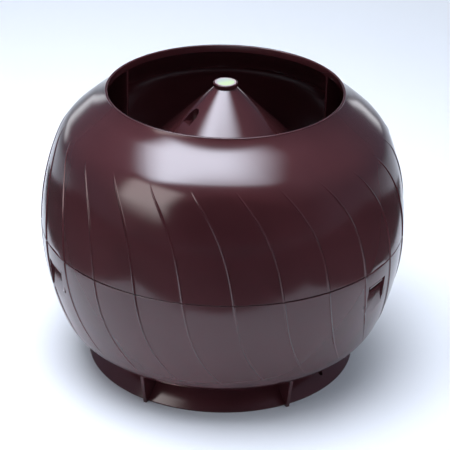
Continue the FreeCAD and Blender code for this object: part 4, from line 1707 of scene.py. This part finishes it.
@dataclass
class ConeCap(Piece):
    """The round cap that closes the cone's tip, with a stem below and a shallow recess on top."""

    foot: float
    node: str = "cone_cap"
    slot: str = "shell_plastic"
    radius: float = 10.2
    height: float = 3.4
    stem_radius: float = 4.0
    stem_length: float = 9.0
    recess_radius: float = 9.1
    recess: float = 0.2
    recess_round: float = 0.1
    top_round: float = 0.5
    foot_round: float = 0.25
    stem_round: float = 0.6
    columns: int = 96

    def build(self) -> bpy.types.Object:
        """Builds the cap.

        Returns:
            The cap.
        """
        top = self.foot + self.height
        floor = top - self.recess
        stem_end = self.foot - self.stem_length
        section = rounded([
            (0.0, floor), (self.recess_radius, floor), (self.recess_radius, top, self.recess_round),
            (self.radius, top, self.top_round), (self.radius, self.foot, self.foot_round),
            (self.stem_radius, self.foot), (self.stem_radius, stem_end, self.stem_round), (0.0, stem_end),
        ], steps=4)
        shape = revolve("tip_cap", section, self.columns)
        shade(shape, even_flats=True)
        return shape


@dataclass
class CapDisc(Piece):
    """The thin plain disc in the cap's recess."""

    foot: float
    node: str = "cap_disc"
    slot: str = "disc_film"
    radius: float = 8.9
    thickness: float = 0.3
    edge_round: float = 0.1
    columns: int = 96

    def build(self) -> bpy.types.Object:
        """Builds the disc.

        Returns:
            The disc.
        """
        top = self.foot + self.thickness
        section = rounded([(0.0, self.foot), (self.radius, self.foot),
                           (self.radius, top, self.edge_round), (0.0, top)])
        shape = revolve("plain_disc", section, self.columns)
        shade(shape, even_flats=True)
        return shape


@dataclass
class ScrewRing(Piece):
    """Three pan-head self-tapping screws."""

    name: str
    node: str
    pitch: float
    azimuth: float
    seat: float
    points_up: bool
    slot: str = "screw_steel"
    count: int = 3
    head_radius: float = 4.0
    head_height: float = 2.5
    head_edge: float = 0.2
    head_crown: float = 1.3
    shank_radius: float = 1.9
    core_radius: float = 1.35
    length: float = 12.0
    tip_length: float = 2.5
    tip_share: float = 0.02
    thread_pitch: float = 1.6
    thread_steps: int = 6
    thread_sharpness: float = 4.0
    columns: int = 32
    recess_width: float = 1.1
    recess_reach: float = 2.3
    recess_depth: float = 1.6
    recess_over: float = 0.5
    recess_taper: float = 0.55

    def shank(self) -> bpy.types.Object:
        """The threaded shank, from inside the head to its point, pointing down from height 0.

        Returns:
            The shank.
        """
        rows = round(self.length / self.thread_pitch * self.thread_steps)
        depth = np.linspace(0.0, self.length, rows + 1)
        turn = np.arange(self.columns) / self.columns
        phase = (depth[:, None] / self.thread_pitch - turn[None, :]) % 1.0
        crest = np.clip(1 - np.abs(phase - 0.5) * self.thread_sharpness, 0, 1)
        taper = np.clip((self.length - depth) / self.tip_length, self.tip_share, 1)[:, None]
        radius = (self.core_radius + (self.shank_radius - self.core_radius) * crest) * taper
        points = around(radius, 0 * radius, np.broadcast_to(-depth[:, None], radius.shape), turn * 360.0)
        flat = points.reshape(-1, 3)
        faces: list[Sequence[int]] = grid_faces(rows + 1, self.columns)[:rows * self.columns].tolist()
        faces.append(list(range(self.columns)))
        faces.append(list(range(rows * self.columns, (rows + 1) * self.columns)))
        flat[:self.columns, 2] += self.head_height / 2
        return new_object("shank", flat, faces)

    def screw(self) -> bpy.types.Object:
        """One screw that stands on its seat at the origin, pointing down.

        Returns:
            The screw.
        """
        head = revolve("head", rounded([
            (0.0, 0.0), (self.head_radius, 0.0, self.head_edge),
            (self.head_radius, self.head_height, self.head_crown), (0.0, self.head_height),
        ], steps=5), self.columns)
        merge(head, [self.shank()], Merge.ADD)
        top = self.head_height + self.recess_over
        floor = self.head_height - self.recess_depth
        wide = self.recess_reach
        narrow = wide * self.recess_taper
        half = self.recess_width / 2
        slot = np.array([(-wide, top), (wide, top), (narrow, floor), (-narrow, floor)])
        for arm in draw_ring((0.0, 90.0), "arm", slot, Way.ACROSS, -half, half):
            merge(head, [arm], Merge.CUT)
        return head

    def build(self) -> bpy.types.Object:
        """Builds one screw and repeats it round the ring.

        Returns:
            The three screws.
        """
        single = self.screw()
        work = bmesh.new()
        flip = Matrix.Rotation(math.pi, 4, "X") if self.points_up else Matrix.Identity(4)
        for turn, azimuth in enumerate(np.radians(ring(self.count, self.azimuth)).tolist()):
            across, along = math.sin(azimuth), -math.cos(azimuth)
            place = Matrix.Translation(Vector((self.pitch * across, self.pitch * along, self.seat)) * MM)
            # Each screw has stopped at its own turn.
            twist = Matrix.Rotation(azimuth * 3 + turn, 4, "Z")
            before = len(work.verts)
            work.from_mesh(single.data)
            work.verts.ensure_lookup_table()
            bmesh.ops.transform(work, matrix=place @ flip @ twist, verts=work.verts[before:])
        mesh = bpy.data.meshes.new(self.name)
        work.to_mesh(mesh)
        work.free()
        shape = bpy.data.objects.new(self.name, mesh)
        bpy.context.scene.collection.objects.link(shape)
        spent = single.data
        bpy.data.objects.remove(single)
        bpy.data.meshes.remove(spent)
        shade(shape, even_flats=True)
        return shape


# The studio.


@dataclass(frozen=True)
class Softbox:
    """A lit cloth that faces its target.

    Its glow rises from nothing over the width of each fade, at its left, right, near and far edge. A
    mirrored cloth shows in glossy faces, and a lighting one lights what it faces.
    """

    name: str
    place: Place
    target: Place
    width: float
    height: float
    glow: float
    colour: Colour
    fades: tuple[float, float, float, float] = (120.0, 120.0, 120.0, 120.0)
    mirrored: bool = True
    lighting: bool = True

    def material(self) -> bpy.types.Material:
        """The cloth's glow, on the side that faces the target.

        Returns:
            The material.
        """
        wide, high = self.width / 2, self.height / 2
        left, right, near, far = self.fades
        material = bpy.data.materials.new(self.name)
        material.use_nodes = True
        canvas = Canvas(material.node_tree)
        parts = canvas.add("SeparateXYZ")
        canvas.join(canvas.add("TexCoord").outputs["Object"], parts, "Vector")
        edges = (("X", -wide, left), ("X", wide, -right), ("Y", -high, near), ("Y", high, -far))
        strength = canvas.maths("SUBTRACT", 1.0, canvas.add("NewGeometry").outputs["Backfacing"])
        for axis, edge, reach in edges:
            step = canvas.ramp(parts.outputs[axis], edge * MM, (edge + reach) * MM)
            strength = canvas.maths("MULTIPLY", strength, step)
        light = canvas.add("Emission", {}, {"Color": (*self.colour, 1.0)})
        canvas.join(canvas.maths("MULTIPLY", strength, self.glow), light, "Strength")
        canvas.join(light.outputs["Emission"], canvas.add("OutputMaterial"), "Surface")
        return material

    def hang(self) -> None:
        """Hangs the softbox."""
        wide, high = self.width / 2, self.height / 2
        corners = np.array([(-wide, -high, 0.0), (wide, -high, 0.0), (wide, high, 0.0), (-wide, high, 0.0)])
        cloth = new_object(self.name, corners, [(0, 3, 2, 1)])
        aim = Vector(self.target) - Vector(self.place)
        turn = aim.to_track_quat("-Z", "Y").to_matrix().to_4x4()
        cloth.matrix_world = Matrix.Translation(Vector(self.place) * MM) @ turn
        cloth.data.materials.append(self.material())
        cloth.visible_camera = False
        cloth.visible_glossy = self.mirrored
        cloth.visible_diffuse = self.lighting


def photo_softboxes() -> list[Softbox]:
    """The softboxes overhead and at the left, each a mirrored and a lighting cloth, and three fills."""
    return [
        Softbox(name="overhead_cloth", place=(-112.0, -87.0, 950.0), target=(-112.0, -87.0, 0.0),
                width=1245.0, height=778.0, glow=17.5, colour=(0.82, 0.88, 1.02),
                fades=(350.0, 560.0, 170.0, 120.0), lighting=False),
        Softbox(name="overhead_box", place=(-112.0, -95.0, 960.0), target=(-112.0, -95.0, 0.0),
                width=1245.0, height=790.0, glow=11.0, colour=(0.95, 0.96, 1.0),
                fades=(370.0, 560.0, 140.0, 120.0), mirrored=False),
        Softbox(name="left_cloth", place=(-902.0, -770.0, 740.0), target=(-90.0, -125.0, 175.0),
                width=980.0, height=1060.0, glow=5.2, colour=(1.0, 0.92, 0.92),
                fades=(220.0, 220.0, 220.0, 220.0), lighting=False),
        Softbox(name="left_box", place=(-912.0, -780.0, 760.0), target=(-90.0, -125.0, 175.0),
                width=880.0, height=960.0, glow=2.5, colour=(1.0, 0.96, 0.95),
                fades=(180.0, 180.0, 180.0, 180.0), mirrored=False),
        Softbox(name="left_fill", place=(-1500.0, -500.0, 520.0), target=(0.0, 0.0, 0.0),
                width=1500.0, height=800.0, glow=2.1, colour=(0.96, 0.97, 1.0), mirrored=False),
        Softbox(name="right_fill", place=(1000.0, -650.0, 1100.0), target=(150.0, -100.0, 0.0),
                width=1200.0, height=1000.0, glow=1.7, colour=(0.90, 0.94, 1.0), mirrored=False),
        Softbox(name="back_fill", place=(-100.0, 1500.0, 1300.0), target=(0.0, 700.0, 0.0),
                width=2400.0, height=1000.0, glow=3.1, colour=(0.94, 0.97, 1.0), mirrored=False),
    ]


@dataclass
class Studio:
    """The plain pale floor, the dark cloths round it, the room, the softboxes and the camera."""

    floor_half: float = 6000.0
    floor_colour: Colour = (0.75, 0.80, 0.88)
    floor_mottle: float = 0.985
    floor_roughness: float = 0.85
    floor_specular: float = 0.2
    cloth_height: float = 1.0
    cloth_roughness: float = 0.9
    room_colour: Colour = (1.0, 1.0, 1.0)
    backdrop_colour: Colour = (2.3, 2.35, 2.5)
    dark_colour: Colour = (0.010, 0.009, 0.009)
    side_colour: Colour = (0.19, 0.19, 0.26)
    soft_colour: Colour = (0.29, 0.30, 0.33)
    table_front: float = -332.0
    table_side: float = 325.0
    table_back: float = 420.0
    dark_reach: float = 2600.0
    dark_front: Point = (-0.75, -0.1)
    backdrop_turn: float = -0.12
    backdrop_side: Point = (0.78, 0.86)
    backdrop_top: Point = (0.14, 0.03)
    camera_place: Place = (31.2, -1373.2, 822.7)
    camera_heading: float = -1.219
    camera_pitch: float = 27.216
    camera_roll: float = 1.2014
    lens: float = 143.35
    sensor: float = 36.0
    clip: Point = (0.05, 50.0)
    softboxes: list[Softbox] = field(default_factory=photo_softboxes)

    def build_floor(self) -> None:
        """Lays the pale floor."""
        half = self.floor_half
        corners = np.array([(-half, -half, 0.0), (half, -half, 0.0), (half, half, 0.0), (-half, half, 0.0)])
        floor = new_object("floor", corners, [(0, 1, 2, 3)])
        material, canvas, shader = start_material("floor_paper")
        place = canvas.add("TexCoord").outputs["Object"]
        grain = canvas.noise(place, 3.0, 2.0)
        darker = tuple(part * self.floor_mottle for part in self.floor_colour)
        canvas.join(canvas.blend(grain, self.floor_colour, darker), shader, "Base Color")
        shader.inputs["Roughness"].default_value = self.floor_roughness
        shader.inputs["Specular IOR Level"].default_value = self.floor_specular
        floor.data.materials.append(material)

    def build_cloths(self) -> None:
        """Lays the dark cloths that the cowl mirrors, in front of the pale table and beside it."""
        far, side, front, back = self.dark_reach, self.table_side, self.table_front, self.table_back
        outline = [(-far, -far), (far, -far), (far, back), (side, back), (side, front), (-side, front),
                   (-side, back), (-far, back)]
        cloths = new_object("dark_cloths", np.array([(*point, self.cloth_height) for point in outline]),
                            [(0, 1, 4, 5), (1, 2, 3, 4), (0, 5, 6, 7)])
        material, _, shader = start_material("dark_cloth")
        shader.inputs["Base Color"].default_value = (*self.dark_colour, 1.0)
        shader.inputs["Roughness"].default_value = self.cloth_roughness
        cloths.data.materials.append(material)
        cloths.visible_camera = False
        cloths.visible_shadow = False
        cloths.visible_diffuse = False

    def build_room(self) -> None:
        """Sets the room's light.

        Glossy faces mirror a bright backdrop low behind the cowl, dim walls beside it and dark round the
        camera. Dull faces get one soft even light, and the camera sees white.
        """
        world = bpy.data.worlds.new("room")
        bpy.context.scene.world = world
        world.use_nodes = True
        canvas = Canvas(world.node_tree)
        parts = canvas.add("SeparateXYZ")
        canvas.join(canvas.add("TexCoord").outputs["Generated"], parts, "Vector")
        beside = canvas.ramp(parts.outputs["Y"], *self.dark_front)
        walls = canvas.blend(beside, self.dark_colour, self.side_colour)
        turned = canvas.maths("MULTIPLY_ADD", parts.outputs["X"], self.backdrop_turn, parts.outputs["Y"])
        behind = canvas.ramp(turned, *self.backdrop_side)
        low = canvas.ramp(parts.outputs["Z"], *self.backdrop_top)
        colour = canvas.blend(canvas.maths("MULTIPLY", behind, low), walls, self.backdrop_colour)
        path = canvas.add("LightPath")
        soft = canvas.blend(path.outputs["Is Diffuse Ray"], colour, self.soft_colour)
        seen = canvas.blend(path.outputs["Is Camera Ray"], soft, self.room_colour)
        light = canvas.add("Background", {}, {"Strength": 1.0})
        canvas.join(seen, light, "Color")
        canvas.join(light.outputs["Background"], canvas.add("OutputWorld"), "Surface")

    def build_camera(self) -> None:
        """Stands the camera where the photo was taken from."""
        data = bpy.data.cameras.new("camera")
        data.lens = self.lens
        data.sensor_width = self.sensor
        data.clip_start, data.clip_end = self.clip
        camera = bpy.data.objects.new("camera", data)
        bpy.context.scene.collection.objects.link(camera)
        camera.matrix_world = (
            Matrix.Translation(Vector(self.camera_place) * MM)
            @ Matrix.Rotation(math.radians(-self.camera_heading), 4, "Z")
            @ Matrix.Rotation(math.radians(90.0 - self.camera_pitch), 4, "X")
            @ Matrix.Rotation(math.radians(self.camera_roll), 4, "Z"))
        bpy.context.scene.camera = camera

    def build(self) -> None:
        """Builds the whole studio."""
        self.build_floor()
        self.build_cloths()
        self.build_room()
        self.build_camera()
        for softbox in self.softboxes:
            softbox.hang()
        bpy.context.scene.view_settings.view_transform = "Standard"


def build_pieces() -> list[Piece]:
    """The cowl's pieces, in the order in which it is put together.

    Returns:
        The pieces.
    """
    outline = BulbOutline()
    swirl = Swirl(outline.seam_height)
    latch = Latch()
    collar = MountingCollar(outline)
    bowl = LowerShell(outline, swirl, latch)
    cone = RainCone(outline)
    cap = ConeCap(cone.tip_height)
    return [
        collar,
        bowl,
        ScrewRing("ear_screws", "collar_screws", bowl.ear_pitch, bowl.ear_azimuth,
                  bowl.ear_foot + bowl.ear_wall, points_up=False),
        UpperShell(outline, swirl, latch),
        cone,
        ScrewRing("hood_screws", "cone_screws", cone.seat_pitch, 0.0, cone.seat_height - cone.seat_floor,
                  points_up=True),
        cap,
        CapDisc(cap.foot + cap.height - cap.recess),
    ]


def main() -> None:
    """Builds the studio and the cowl."""
    logging.basicConfig(level=logging.INFO, format="%(message)s", stream=sys.stdout)
    Studio().build()
    effects = Effects.make()
    finishes = {
        "shell_plastic": PlasticFinish("shell_plastic").material(effects),
        "screw_steel": SteelFinish("screw_steel").material(effects),
        "disc_film": DiscFinish("disc_film").material(effects),
    }
    for piece in build_pieces():
        piece.dress(finishes[piece.slot])


if __name__ == "__main__":
    main()
